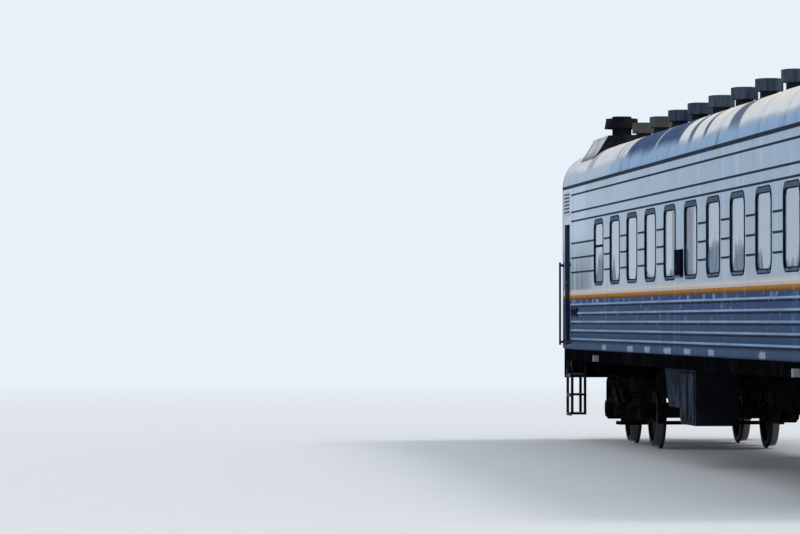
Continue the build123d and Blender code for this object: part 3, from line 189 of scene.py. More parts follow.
# %% A finish under construction
class Finish(Tree):
    """A material under construction: one shader, and the place on the object that feeds its masks."""

    def __init__(self, name, **sockets):
        self.material = bpy.data.materials.new(name)
        self.material.use_nodes = True
        super().__init__(self.material.node_tree)
        self.shader = self.nodes["Principled BSDF"]
        for socket, value in sockets.items():
            self.shader.inputs[socket.replace("_", " ")].default_value = value
        place = self.nodes.new("ShaderNodeTexCoord")
        self.place = place.outputs["Object"]
        self.x, self.y, self.z = self.split(self.place)
        self.facing_along, _, self.facing_up = self.split(place.outputs["Normal"])

    def split(self, vector):
        node = self.nodes.new("ShaderNodeSeparateXYZ")
        self.links.new(vector, node.inputs[0])
        return node.outputs

    def opposite(self, value):
        return self.minus(1.0, value)

    def rise(self, value, low, high):
        """0 below low, 1 above high, and a soft edge between them."""
        node = self.nodes.new("ShaderNodeMapRange")
        node.interpolation_type = "SMOOTHSTEP"
        self.feed(node.inputs["Value"], value)
        node.inputs["From Min"].default_value = low
        node.inputs["From Max"].default_value = high
        return node.outputs["Result"]

    def fall(self, value, low, high):
        """1 below low, 0 above high, and a soft edge between them."""
        return self.opposite(self.rise(value, low, high))

    def between(self, value, low, high, soft=0.004):
        """1 between low and high, with edges as wide as soft."""
        over = self.rise(value, low - soft / 2, low + soft / 2)
        return self.times(over, self.fall(value, high - soft / 2, high + soft / 2))

    def noise(self, scale, stretch=(1, 1, 1), detail=3.0, roughness=0.5, shift=0.0):
        mapping = self.nodes.new("ShaderNodeMapping")
        mapping.inputs["Scale"].default_value = stretch
        mapping.inputs["Location"].default_value = (shift, shift, shift)
        self.links.new(self.place, mapping.inputs["Vector"])
        node = self.nodes.new("ShaderNodeTexNoise")
        node.inputs["Scale"].default_value = scale
        node.inputs["Detail"].default_value = detail
        node.inputs["Roughness"].default_value = roughness
        self.links.new(mapping.outputs[0], node.inputs["Vector"])
        return node.outputs["Fac"]

    def over(self, under, cover, *amounts):
        """The cover colour laid over the under colour, as thick as the amounts multiplied."""
        node = self.nodes.new("ShaderNodeMix")
        node.data_type = "RGBA"
        self.feed(node.inputs[0], self.times(*amounts))
        self.feed(node.inputs[6], under)
        self.feed(node.inputs[7], cover)
        return node.outputs[2]

    def ramp(self, low, high, amount):
        """A number that runs from low to high as amount runs from 0 to 1."""
        return self.maths("MULTIPLY_ADD", amount, high - low, low)

    def bump(self, height, distance, strength=0.5):
        node = self.nodes.new("ShaderNodeBump")
        node.inputs["Distance"].default_value = distance
        node.inputs["Strength"].default_value = strength
        self.links.new(height, node.inputs["Height"])
        self.links.new(node.outputs[0], self.shader.inputs["Normal"])

    def show(self, surface):
        self.links.new(surface, self.nodes["Material Output"].inputs["Surface"])

    def done(self, colour, roughness=None):
        self.feed(self.shader.inputs["Base Color"], colour)
        if roughness is not None:
            self.feed(self.shader.inputs["Roughness"], roughness)
        return self.material


# %% [markdown]
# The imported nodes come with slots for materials. One helper fills the slots of any number of nodes
# and says what it did.


# %% Putting a finish on
def wear(finish, *names):
    """Put a finish on CAD nodes, by their names."""
    for name in names:
        for material_slot in nodes[name].material_slots:
            material_slot.material = finish
    print(f"{finish.name}: {len(names)} node(s)")


# %% [markdown]
# The floor is a wide pale sheet that only has to catch the coach's shadow. Far from the coach it takes
# the backdrop's own pale colour for the camera, so that no hard horizon cuts the picture.

# %% Floor
floor_reach = 300
fade_start = 22
fade_end = 75
floor_mesh = bpy.data.meshes.new("studio_floor")
floor_corners = [(-floor_reach, -floor_reach, 0), (floor_reach, -floor_reach, 0),
                 (floor_reach, floor_reach, 0), (-floor_reach, floor_reach, 0)]
floor_mesh.from_pydata(floor_corners, [], [(0, 1, 2, 3)])
studio_floor = bpy.data.objects.new("studio_floor", floor_mesh)
bpy.context.scene.collection.objects.link(studio_floor)
ground = Finish("studio_floor", Roughness=0.9)
speckle = ground.noise(2.5, detail=5)
ground.done(ground.over(paint(222, 223, 224), paint(231, 232, 233), speckle))
glow = ground.nodes.new("ShaderNodeEmission")
glow.inputs["Color"].default_value = backdrop_colour
camera_ray = ground.nodes.new("ShaderNodeLightPath").outputs["Is Camera Ray"]
far_away = ground.rise(ground.distance(ground.x, ground.y), fade_start, fade_end)
ground.show(ground.blend(ground.times(far_away, camera_ray), ground.shader.outputs[0], glow.outputs[0]))
floor_mesh.materials.append(ground.material)
print("floor reaches", floor_reach, "m and fades out from", fade_start, "m")

# %% [markdown]
# The body paint is one finish over the whole side, because on the real coach the colour zones run through
# from panel to panel: grey-blue above, a pale line of painted highlight on the ledge and the ochre belt
# under the windows, and a darker blue below. Each zone is a mask on height. Pressed ribs carry painted shade
# on their undersides and a painted highlight on their crowns, so both are narrow bands at the ribs' own
# heights.

# %% Measures of the side
rail = 0.028
wall_face = 1.5525
sill_edge = 1.340
belt_low = rail + 2.038
belt_high = rail + 2.103
ledge_highlight_top = rail + 2.172
upper_beads = [rail + 3.582, rail + 3.331, rail + 3.198]
pier_beads = [rail + 2.875, rail + 2.660, rail + 2.450]
lower_bead_first = rail + 1.459
lower_bead_pitch = 0.125
lower_bead_last = rail + 1.959
cornice = 3.7274
window_pitch = 1.69
window_x = [(i - 4.5) * window_pitch for i in range(10)]
pier_bead_reach = 0.285
middle_pier_end = 0.8
end_pier_start = 8.165
bead_end = 10.75
print("windows at", [round(x, 2) for x in window_x])

# %% [markdown]
# Under each pressed bead, and under the drip ledge of the roof, lies a thin dark line: dirt, with painted
# shade in it. The upper beads run the whole length. The short ones sit on the piers, and skip the pier in
# the middle, where the board holder hangs. A side's finish carries what its zones share: bead_run, which is
# 1 where there are beads, and the noises cloud, streak and wide_streak.


# %% Dirt and painted shade under the beads
def bead_dirt_and_shade(side):
    """1 in the line of dirt and painted shade under each bead and under the roof's drip ledge."""
    from_middle = side.unsigned(side.x)
    pier_x = side.apart(side.fraction(side.plus(side.divided(side.x, window_pitch), 20.5)), 0.5)
    on_pier = side.fall(pier_x, pier_bead_reach / window_pitch, (pier_bead_reach + 0.01) / window_pitch)
    on_pier = side.times(on_pier, side.rise(from_middle, middle_pier_end, middle_pier_end + 0.01))
    on_pier = side.most(on_pier, side.rise(from_middle, end_pier_start, end_pier_start + 0.01))
    on_pier = side.times(on_pier, side.bead_run)
    dirt_and_shade = side.between(side.z, cornice - 0.030, cornice + 0.002, 0.010)
    for beads, run in ((upper_beads, side.bead_run), (pier_beads, on_pier)):
        for height in beads:
            line = side.between(side.z, height - 0.028, height - 0.002, 0.006)
            dirt_and_shade = side.most(dirt_and_shade, side.times(line, run))
    return dirt_and_shade


# %% [markdown]
# The upper zone is bleached unevenly. It gets paler towards end A, rain has run dirt down the last panel
# there, and dried runs of water stripe all of it. The pale line at its foot is a painted highlight on the
# ledge over the belt, broken up by the same runs.


# %% Upper zone
def upper_zone(side, dirt_and_shade):
    x, z = side.x, side.z
    upper = side.over(paint(178, 193, 208), paint(174, 193, 213), side.rise(z, 2.25, 3.45))
    upper = side.over(upper, paint(206, 220, 234), side.fall(x, -9.0, 5.0), 0.5)
    upper = side.over(upper, paint(172, 184, 200), side.rise(side.cloud, 0.45, 0.72), 0.5)
    last_panel = side.times(side.fall(x, -9.4, -7.9), side.fall(z, 2.25, 3.1))
    run_down = side.ramp(0.48, 0.86, side.rise(side.streak, 0.34, 0.66))
    upper = side.over(upper, paint(92, 108, 114), last_panel, run_down)
    paler_end_a = side.times(side.fall(x, -9.7, -8.3), side.rise(z, 2.75, 3.1))
    upper = side.over(upper, paint(214, 228, 242), paler_end_a, side.rise(side.wide_streak, 0.34, 0.60), 0.9)
    upper = side.over(upper, paint(88, 104, 124), side.rise(side.streak, 0.56, 0.78), 0.38)
    upper = side.over(upper, paint(198, 208, 222), side.rise(side.wide_streak, 0.48, 0.66), 0.6)
    # painted highlight on the ledge over the belt
    ledge_highlight = side.fall(z, ledge_highlight_top - 0.02, ledge_highlight_top + 0.03)
    highlight_share = side.ramp(0.55, 1.0, side.rise(side.streak, 0.3, 0.55))
    upper = side.over(upper, paint(216, 206, 200), ledge_highlight, highlight_share)
    # dark lines of dirt and painted shade under the beads and the drip ledge
    return side.over(upper, paint(13, 24, 44), dirt_and_shade, 0.95)


# %% [markdown]
# On the sill, old transfers were painted out. They are pale patches with frayed edges, at places that
# were read from the photograph.

# %% Patches on the sill
# Columns: middle of a patch along the coach, its length.
sill_patches = [(-7.05, 0.50), (-4.43, 0.52), (-2.84, 0.48), (-1.09, 0.62), (0.54, 0.54), (2.36, 0.44),
                (5.80, 0.44)]


def patch_mask(side):
    fray = side.times(side.minus(side.noise(18, detail=4), 0.5), 0.42)
    frayed_x = side.plus(side.x, fray)
    patches = 0.0
    for middle, length in sill_patches:
        patch = side.fall(side.apart(frayed_x, middle), length / 2 - 0.05, length / 2 + 0.02)
        patches = side.most(patches, patch)
    frayed_z = side.plus(side.z, side.times(fray, 0.14))
    return side.times(patches, side.between(frayed_z, rail + 1.330, rail + 1.402, 0.018))


# %% [markdown]
# The lower zone has five pressed ribs at one pitch. A height counted in pitches, without its whole part,
# tells where on a rib a point lies: the crest carries a painted highlight, and the underside painted shade.


# %% Lower zone
def lower_zone(side):
    z = side.z
    lower = side.over(paint(50, 76, 110), paint(44, 70, 116), side.rise(z, 1.80, 2.03))
    lower = side.over(lower, paint(30, 50, 84), side.fall(z, 1.46, 1.72), 0.55)
    lower = side.over(lower, paint(80, 106, 144), side.rise(side.wide_streak, 0.50, 0.72), 0.42)
    lower = side.over(lower, paint(34, 50, 80), side.rise(side.streak, 0.55, 0.75), 0.45)
    pitches = side.divided(side.minus(z, lower_bead_first), lower_bead_pitch)
    on_rib = side.fraction(side.plus(pitches, 8.5))
    ribs = side.times(side.between(z, lower_bead_first - 0.05, lower_bead_last + 0.05), side.bead_run)
    crest_highlight = side.ramp(0.62, 0.95, side.rise(side.cloud, 0.35, 0.65))
    # painted highlight on the crest of each rib, then painted shade under each rib
    lower = side.over(lower, paint(150, 176, 210), side.between(on_rib, 0.50, 0.69, 0.06), ribs, crest_highlight)
    lower = side.over(lower, paint(8, 14, 32), side.between(on_rib, 0.26, 0.45, 0.05), ribs, 0.85)
    blotch = side.rise(side.noise(2.9, (1, 0.3, 2.4), detail=5, roughness=0.65, shift=6.0), 0.56, 0.68)
    lower = side.over(lower, paint(146, 166, 196), blotch, side.rise(z, 1.50, 1.95), 0.45)
    lower = side.over(lower, paint(62, 84, 120), side.fall(z, rail + 1.400, rail + 1.415), 0.8)
    lower = side.over(lower, paint(30, 40, 62), side.fall(z, sill_edge, sill_edge + 0.016), 0.9)
    under_belt = side.between(z, rail + 1.985, rail + 2.036, 0.016)
    washed = side.rise(side.noise(2.6, (1, 0.2, 0.2), detail=4, shift=3.0), 0.55, 0.66)
    lower = side.over(lower, paint(158, 176, 206), under_belt, washed, 0.75)
    return side.over(lower, paint(172, 186, 208), patch_mask(side), side.ramp(0.45, 0.95, side.cloud))


# %% [markdown]
# Over each side door the panel has louvres: two columns of six slots. They are drawn by the paint, as dark
# bands of painted shade with a clean edge.

# %% Louvre slots
door_middle = 11.245
louvre_pitch = 0.052
louvre_rows = 6
louvre_low = rail + 3.465 - 2.5 * louvre_pitch - 0.013
column_middle = 0.16
column_reach = 0.1375


def louvre_slot_shade(side):
    from_door = side.apart(side.unsigned(side.x), door_middle)
    column = side.between(side.apart(from_door, column_middle), -0.01, column_reach, 0.006)
    row = side.fraction(side.divided(side.minus(side.z, louvre_low), louvre_pitch))
    rows = side.between(side.z, louvre_low, louvre_low + louvre_rows * louvre_pitch, 0.002)
    return side.times(side.between(row, 0.0, 0.5, 0.04), column, rows)


# %% [markdown]
# Now the side in one piece. The belt splits the zones. Brake dust thickens towards the sill, and
# paint has chipped off in small groups. Soft waves in the sheet bend the light a little.


# %% Side paint
def side_paint(name, jamb=False, slots=False):
    """The coach's side colours. With jamb, what lies behind the outer face is dark navy; with
    slots, the louvre openings carry painted shade."""
    side = Finish(name, Specular_IOR_Level=0.02)
    z = side.z
    side.cloud = side.noise(0.9, (0.7, 1, 1.8), detail=4)
    side.streak = side.noise(11, (1, 1, 0.055), detail=4, roughness=0.6)
    side.wide_streak = side.noise(3.2, (1, 1, 0.10), detail=3, shift=7.0)
    side.bead_run = side.fall(side.unsigned(side.x), bead_end - 0.02, bead_end)
    dirt_and_shade = bead_dirt_and_shade(side)
    above = side.rise(z, belt_high - 0.001, belt_high + 0.001)
    colour = side.over(lower_zone(side), upper_zone(side, dirt_and_shade), above)
    # The belt is a half-round moulding: painted shade darkens its foot and a painted highlight brightens its
    # top.
    belt_shade_to_highlight = side.rise(z, belt_low + 0.004, belt_high - 0.008)
    ochre = side.over(paint(112, 66, 16), paint(184, 126, 40), belt_shade_to_highlight)
    ochre = side.over(ochre, paint(92, 62, 26), side.rise(side.streak, 0.50, 0.72), 0.45)
    ochre = side.over(ochre, paint(206, 172, 116), side.rise(side.wide_streak, 0.58, 0.76), 0.45)
    colour = side.over(colour, ochre, side.between(z, belt_low, belt_high, 0.002))
    grime = side.times(side.fall(z, sill_edge, 1.70), side.rise(side.cloud, 0.45, 0.75))
    colour = side.over(colour, paint(44, 42, 44), grime, 0.3)
    chips = side.rise(side.noise(140, detail=2, shift=2.0), 0.70, 0.74)
    in_groups = side.rise(side.noise(2.1, shift=5.0), 0.56, 0.66)
    colour = side.over(colour, paint(70, 48, 38), chips, in_groups, 0.8)
    if jamb:
        behind = side.fall(side.unsigned(side.y), wall_face - 0.0075, wall_face - 0.0025)
        colour = side.over(colour, paint(26, 40, 62), behind, 0.92)
    if slots:
        # painted shade in the louvre slots
        colour = side.over(colour, paint(16, 22, 34), louvre_slot_shade(side), 0.94)
    waves = side.noise(1.5, (1, 1, 1.6), detail=1, shift=1.0)
    grain = side.noise(90, detail=2)
    side.bump(side.plus(side.times(waves, 6.0), side.times(grain, 0.12)), 0.0022, 0.6)
    return side.done(colour, side.ramp(0.45, 0.7, side.most(dirt_and_shade, side.streak)))


wear(side_paint("side_paint"), "side_wall_bay_side", "side_wall_aisle_side")
wear(side_paint("surround_paint", jamb=True), "door_surrounds")
wear(side_paint("louvre_paint", slots=True), "door_louvres")

# %% [markdown]
# The roof is sheet steel under the same blue-grey paint, covered in pale dust wherever the rain does not
# reach, and the dust on the crown carries painted sunlight that warms towards the top. Curved strips across
# it are painted cast shadows, where the dark blue under the dust shows. The strips' places are a short
# table, and noise frays their edges. The far end is paler. The top of the crown, and with it the aisle side,
# is sootier, and its painted shadow strips are paler there.

# %% Roof paint
# Columns: start and end of a painted shadow strip along the coach, how deep its shade is.
shadow_strips = [(3.30, 4.05, 0.85), (1.46, 1.74, 0.9), (0.38, 0.72, 0.85), (-5.20, -0.34, 0.95),
                (-6.20, -6.05, 0.75), (-5.72, -5.60, 0.6), (-9.25, -8.55, 0.7), (9.1, 9.8, 0.6)]
lit_gap = (-2.50, -2.36)


def roof_dust_and_sunlight(roof, height, cloud):
    """1 where the roof shows dust and painted sunlight: above the shoulder, between the painted shadow
    strips.
    """
    fray = roof.times(roof.minus(roof.noise(1.5, detail=3, roughness=0.4), 0.5), 0.5)
    lean = roof.times(roof.minus(4.1, roof.z), -0.25)
    x = roof.plus(roof.plus(roof.x, fray), lean)
    in_shadow = 0.0
    for start, end, share in shadow_strips:
        in_shadow = roof.most(in_shadow, roof.times(roof.between(x, start, end, 0.14), share))
    in_shadow = roof.times(in_shadow, roof.opposite(roof.times(roof.between(x, *lit_gap, 0.08), 0.7)))
    thickness = roof.ramp(0.8, 1.0, roof.rise(cloud, 0.3, 0.6))
    return roof.times(roof.rise(height, 3.84, 3.98), roof.opposite(in_shadow), thickness)


def roof_paint():
    roof = Finish("roof_paint", Specular_IOR_Level=0.0)
    streak = roof.noise(3.0, (1, 0.15, 0.15), detail=5, roughness=0.6)
    cloud = roof.noise(0.8, (0.6, 1, 1), detail=5)
    drift = roof.minus(cloud, 0.5)
    height = roof.plus(roof.z, roof.times(drift, 0.22))
    # the dark blue here shows only in the painted shadow strips
    bare_and_shadow_blue = roof.over(paint(160, 186, 216), paint(60, 86, 124), roof.rise(height, 3.84, 4.00))
    bare_and_shadow_blue = roof.over(bare_and_shadow_blue, paint(38, 60, 94), roof.rise(streak, 0.5, 0.75), 0.55)
    # dust that warms towards the top of the crown: dust with painted sunlight
    dust = roof.over(paint(240, 240, 244), paint(252, 242, 228), roof.rise(roof.z, 3.9, 4.25))
    dust = roof.over(dust, paint(200, 192, 186), roof.rise(streak, 0.50, 0.78), 0.5)
    sooty = roof.rise(roof.plus(roof.y, roof.times(drift, 0.9)), -0.85, 0.05)
    bare_and_shadow_blue = roof.over(bare_and_shadow_blue, paint(112, 124, 142), sooty, 0.85)
    dust = roof.over(dust, paint(178, 178, 176), sooty, roof.ramp(0.55, 0.95, streak))
    dust_and_sunlight = roof_dust_and_sunlight(roof, height, cloud)
    colour = roof.over(bare_and_shadow_blue, dust, dust_and_sunlight)
    # paler towards end A
    paler_end_a = roof.times(roof.fall(roof.x, -7.4, -5.2), roof.opposite(sooty))
    colour = roof.over(colour, paint(226, 230, 236), paler_end_a, 0.42)
    # a dark line of painted shade under the drip ledge
    ledge_shade = roof.between(roof.z, cornice - 0.0274, cornice + 0.0166, 0.006)
    colour = roof.over(colour, paint(22, 32, 52), ledge_shade, 0.9)
    rust = roof.times(roof.rise(roof.noise(34, detail=3, shift=4.0), 0.63, 0.70), roof.rise(cloud, 0.5, 0.7))
    colour = roof.over(colour, paint(120, 92, 72), rust, 0.5)
    roof.bump(roof.plus(roof.times(roof.noise(1.2, detail=1), 6.0), roof.noise(60)), 0.003, 0.5)
    return roof.done(colour, roof.ramp(0.38, 0.78, dust_and_sunlight))


wear(roof_paint(), "roof_crown", "roof_shoulders")


# %% [markdown]
# The end walls carry one plain colour, because they are hidden while the coach is coupled up. Smoke,
# brake dust and rain from the roof edge make them the dirtiest painted faces, darkest round the
# gangway. A mask on the distance from the middle line finds that place on both walls at once.

# %% End paint
def end_paint():
    end = Finish("end_paint", Specular_IOR_Level=0.05)
    streak = end.noise(9, (1, 1, 0.06), detail=4, roughness=0.6)
    cloud = end.noise(1.4, detail=5)
    colour = end.over(paint(62, 78, 104), paint(104, 124, 150), end.rise(end.z, 1.6, 4.0))
    colour = end.over(colour, paint(40, 48, 62), end.rise(streak, 0.45, 0.72), 0.6)
    near_gangway = end.fall(end.unsigned(end.y), 0.55, 1.15)
    colour = end.over(colour, paint(44, 45, 48), near_gangway, end.rise(cloud, 0.3, 0.62), 0.75)
    low = end.fall(end.z, 1.35, 1.95)
    colour = end.over(colour, paint(52, 46, 42), low, end.rise(cloud, 0.3, 0.6), 0.8)
    end.bump(end.plus(end.times(end.noise(1.6, detail=1), 5.0), end.noise(80)), 0.002, 0.5)
    return end.done(colour, end.ramp(0.45, 0.8, cloud))


wear(end_paint(), "end_wall_a", "end_wall_b", "end_door_a", "end_door_b")


# %% [markdown]
# Doors and handrails are a navy gloss, rubbed where hands hold them. On a rail the rubbed zone is at
# breast height; on a leaf it is round the handle and along the foot. One mask on height serves both,
# because hands reach for both at the same height.

# %% Navy gloss
doorways = [f"{letter}_{side}" for letter in "ab" for side in ("bay_side", "aisle_side")]


def navy_gloss():
    navy = Finish("navy_gloss", Specular_IOR_Level=0.15)
    cloud = navy.noise(3.0, (1, 1, 0.5), detail=5)
    streak = navy.noise(16, (1, 1, 0.06), detail=4)
    colour = navy.over(paint(14, 26, 50), paint(28, 44, 74), navy.rise(cloud, 0.3, 0.7))
    colour = navy.over(colour, paint(86, 98, 116), navy.rise(streak, 0.55, 0.75), 0.35)
    held = navy.times(navy.between(navy.z, 1.9, 2.45, 0.3), navy.rise(navy.noise(22, detail=4), 0.5, 0.62))
    colour = navy.over(colour, paint(96, 92, 88), held, 0.55)
    foot = navy.times(navy.fall(navy.z, 1.45, 1.72), navy.rise(cloud, 0.35, 0.6))
    colour = navy.over(colour, paint(70, 62, 54), foot, 0.7)
    navy.bump(navy.noise(70, detail=3), 0.0008, 0.4)
    return navy.done(colour, navy.ramp(0.28, 0.6, streak))


wear(navy_gloss(), "handrails", *[f"side_door_{doorway}" for doorway in doorways])


# %% [markdown]
# Window frames are pressed metal under old navy paint, with a worn grey top rail, and a pale bottom rail
# that is worn grey with a painted highlight along its lip. The panes are thin real glass: rays go through
# them into the saloon, and at this flat angle they mostly mirror the sky.

# %% Window frames
window_bottom = rail + 2.229
window_width = 0.98
window_height = 0.913
window_top = window_bottom + window_height


def window_frame_paint():
    rim = Finish("window_frame_paint", Specular_IOR_Level=0.0)
    worn = rim.noise(24, detail=4)
    colour = rim.over(paint(10, 17, 34), paint(22, 32, 52), worn)
    top_rail = rim.rise(rim.z, window_top - 0.085, window_top - 0.055)
    faded = rim.ramp(0.45, 0.9, rim.rise(worn, 0.30, 0.6))
    colour = rim.over(colour, paint(96, 114, 136), top_rail, faded)
    # worn grey bottom rail with a painted highlight along its lip
    bottom_rail = rim.fall(rim.z, window_bottom + 0.028, window_bottom + 0.042)
    bottom_wear_and_highlight = rim.ramp(0.3, 0.85, rim.rise(worn, 0.35, 0.6))
    colour = rim.over(colour, paint(120, 130, 150), bottom_rail, bottom_wear_and_highlight)
    colour = rim.over(colour, paint(70, 80, 96), rim.rise(worn, 0.62, 0.70), 0.4)
    rim.bump(rim.noise(120), 0.0006, 0.5)
    return rim.done(colour, rim.ramp(0.3, 0.55, worn))


wear(window_frame_paint(), "window_frames")

# %% [markdown]
# A painted reflection of dark surroundings covers the lower part of every pane, and all of the two panes
# beside the board holder, and a painted reflection of pale sky lies thinly over the rest. Its edge wanders
# with the noise, so that no two windows look alike. Where the painted reflections lie, a plain diffuse
# shader takes over from the glass.

# %% Panes
door_light_bottom = 2.259
door_light_height = 0.72
dull_start = -0.45
dull_end = 1.20


def pane_glass(name, bottom, pane_height):
    """Clear glass with a film of painted reflections on it, for panes that start at bottom and are
    pane_height high.
    """
    glass = Finish(name, Base_Color=paint(180, 208, 234), IOR=1.5, Specular_IOR_Level=0.5,
                   Transmission_Weight=1.0)
    streak = glass.noise(14, (1, 1, 0.2), detail=5)
    drift = glass.noise(1.3, (1, 1, 0.6), detail=4, shift=9.0)
    share_up = glass.divided(glass.minus(glass.z, bottom), pane_height)
    # the edge between the dark and the pale painted reflection
    reflection_edge = glass.ramp(-0.70, 1.05, drift)
    reflected_dark = glass.fall(glass.minus(share_up, reflection_edge), -0.06, 0.10)
    dull = glass.between(glass.plus(glass.x, glass.times(drift, 0.5)), dull_start, dull_end, 0.30)
    reflected_dark = glass.most(reflected_dark, glass.times(dull, 0.72))
    glass.feed(glass.shader.inputs["Roughness"], glass.ramp(0.015, 0.30, glass.times(reflected_dark, streak)))
    reflection_film = glass.nodes.new("ShaderNodeBsdfDiffuse")
    # painted reflections: pale sky above, dark surroundings below
    pale_reflection = glass.over(paint(188, 222, 252), paint(150, 196, 238), glass.rise(streak, 0.45, 0.65))
    dark_reflection = glass.over(paint(44, 74, 108), paint(102, 140, 178), glass.rise(streak, 0.42, 0.66))
    glass.feed(reflection_film.inputs["Color"], glass.over(pale_reflection, dark_reflection, glass.rise(reflected_dark, 0.0, 0.2)))
    glass.show(glass.blend(glass.ramp(0.13, 0.60, reflected_dark), glass.shader.outputs[0], reflection_film.outputs[0]))
    return glass.material


window_glass = pane_glass("window_glass", window_bottom, window_height)
wear(window_glass, "window_glass_bay_side", "window_glass_aisle_side")
door_glass = pane_glass("door_glass", door_light_bottom, door_light_height)
wear(door_glass, *[f"side_door_glass_{doorway}" for doorway in doorways])


# %% [markdown]
# The roof vents are dark slate drums on black necks, weathered in vertical runs. The two nearest the
# boiler are olive brown from its smoke, so the colour follows the distance to the flue.

# %% Vent paint
drum_bottom = 4.350
drum_top = 4.478
smoke_reach = -5.2


def vent_paint():
    vent = Finish("vent_paint", Specular_IOR_Level=0.02)
    runs = vent.noise(20, (1, 1, 0.12), detail=4)
    cloud = vent.noise(6, detail=4)
    colour = vent.over(paint(54, 63, 78), paint(82, 92, 106), vent.rise(runs, 0.35, 0.75))
    lid = vent.rise(vent.z, drum_top + 0.004, drum_top + 0.010)
    colour = vent.over(colour, paint(112, 118, 122), lid, 0.5)
    smoked = vent.fall(vent.x, smoke_reach, smoke_reach + 1.0)
    colour = vent.over(colour, paint(84, 82, 72), smoked, vent.rise(cloud, 0.25, 0.6), 0.85)
    neck = vent.fall(vent.z, drum_bottom - 0.015, drum_bottom)
    colour = vent.over(colour, paint(24, 28, 36), neck, 0.9)
    vent.bump(vent.noise(90, detail=3), 0.0008, 0.5)
    return vent.done(colour, vent.ramp(0.5, 0.8, cloud))


wear(vent_paint(), "roof_vents")


# %% [markdown]
# The boiler hood is the dirtiest thing on the roof: soot on its top, its ends and its pipe, darkened further
# by painted shade, and specks of rust. The sloping outer side carries pale grey painted sunlight. The hood
# is one solid, so its faces are told apart by their places.

# %% Hood paint
hood_start = -10.640
hood_end = -9.106
hood_edge_y = -1.210


def hood_paint():
    hood = Finish("hood_soot", Specular_IOR_Level=0.02)
    cloud = hood.noise(5, detail=5)
    flecks = hood.noise(42, detail=4)
    # soot, darkened further by painted shade
    colour = hood.over(paint(22, 22, 27), paint(46, 46, 52), hood.rise(cloud, 0.35, 0.7))
    # pale grey painted sunlight on the sloping outer side
    sunlit_grey = hood.over(paint(190, 189, 190), paint(230, 228, 228), hood.rise(cloud, 0.35, 0.62))
    sunlit_grey = hood.over(sunlit_grey, paint(122, 112, 106), hood.rise(flecks, 0.55, 0.7), 0.6)
    foot = hood.fall(hood.z, 4.08, 4.22)
    sunlit_grey = hood.over(sunlit_grey, paint(96, 92, 92), foot, hood.rise(cloud, 0.3, 0.55), 0.7)
    sunlit_slope = hood.fall(hood.y, hood_edge_y - 0.012, hood_edge_y)
    ends = hood.most(hood.fall(hood.x, hood_start - 0.008, hood_start),
                     hood.rise(hood.x, hood_end, hood_end + 0.004))
    colour = hood.over(colour, sunlit_grey, sunlit_slope, hood.opposite(ends), 0.9)
    rust = hood.times(hood.rise(flecks, 0.62, 0.72), hood.rise(cloud, 0.45, 0.65))
    colour = hood.over(colour, paint(96, 58, 40), rust, 0.7)
    hood.bump(hood.plus(hood.times(cloud, 2.0), flecks), 0.003, 0.5)
    return hood.done(colour, hood.ramp(0.6, 0.92, cloud))


wear(hood_paint(), "boiler_hood")


# %% [markdown]
# Under the floor everything is the same black-brown: paint, grease and brake dust, and on the frame a
# near-black that partly stands for painted shade. What the eye reads there is dust on the faces that look
# up, rust on corners, and a dull shine of grease, so one recipe makes all the finishes down there with other
# colours and amounts.

# %% One recipe for the running gear
def running_gear(name, base, worn, dust, dust_share, shine):
    """The finish under construction, its colour and its roughness, which starts at shine."""
    gear = Finish(name, Specular_IOR_Level=0.0)
    cloud = gear.noise(3.5, detail=5)
    flecks = gear.noise(30, detail=4)
    colour = gear.over(base, worn, gear.rise(cloud, 0.35, 0.7))
    colour = gear.over(colour, paint(48, 32, 24), gear.rise(flecks, 0.60, 0.70), 0.5)
    lying = gear.times(gear.rise(gear.facing_up, 0.4, 0.95), gear.rise(flecks, 0.2, 0.6))
    colour = gear.over(colour, dust, lying, dust_share)
    colour = gear.over(colour, dust, gear.rise(cloud, 0.52, 0.78), 0.12)
    gear.bump(gear.plus(cloud, gear.times(flecks, 0.6)), 0.003, 0.5)
    return gear, colour, gear.ramp(shine, 0.88, cloud)


# %% [markdown]
# Four finishes come from it. The underframe also has four pale jacking pads on its solebars. The boxes under
# the floor are grey, with painted shade that turns their end faces nearly black. The steps' outer edges are
# pale: scuffed, with a painted highlight on them.

# %% Underframe, bogies, boxes and steps
jacking_pad_x = 7.87
jacking_pad_reach = 0.068
jacking_pad_face = 1.530
step_edge = 1.530


def frame_paint():
    # near-black base, partly painted shade under the floor
    gear, colour, roughness = running_gear("frame_paint", paint(8, 9, 12), paint(15, 16, 20),
                                           paint(58, 55, 51), 0.5, 0.55)
    from_pad = gear.apart(gear.unsigned(gear.x), jacking_pad_x)
    pad = gear.times(gear.fall(from_pad, jacking_pad_reach - 0.002, jacking_pad_reach),
                     gear.rise(gear.unsigned(gear.y), jacking_pad_face - 0.0015, jacking_pad_face),
                     gear.fall(gear.z, 1.281, 1.283))
    colour = gear.over(colour, paint(164, 166, 172), pad, gear.ramp(0.55, 0.95, gear.noise(24)))
    return gear.done(colour, roughness)


def bogie_iron():
    gear, colour, roughness = running_gear("bogie_iron", paint(13, 13, 16), paint(24, 23, 25),
                                           paint(74, 67, 59), 0.6, 0.45)
    return gear.done(colour, roughness)


def plate_grey():
    gear, colour, roughness = running_gear("plate_grey", paint(40, 46, 57), paint(66, 74, 87),
                                           paint(84, 82, 80), 0.4, 0.5)
    # painted shade on the end faces
    ends = gear.rise(gear.unsigned(gear.facing_along), 0.8, 0.95)
    return gear.done(gear.over(colour, paint(15, 16, 20), ends, 0.88), roughness)


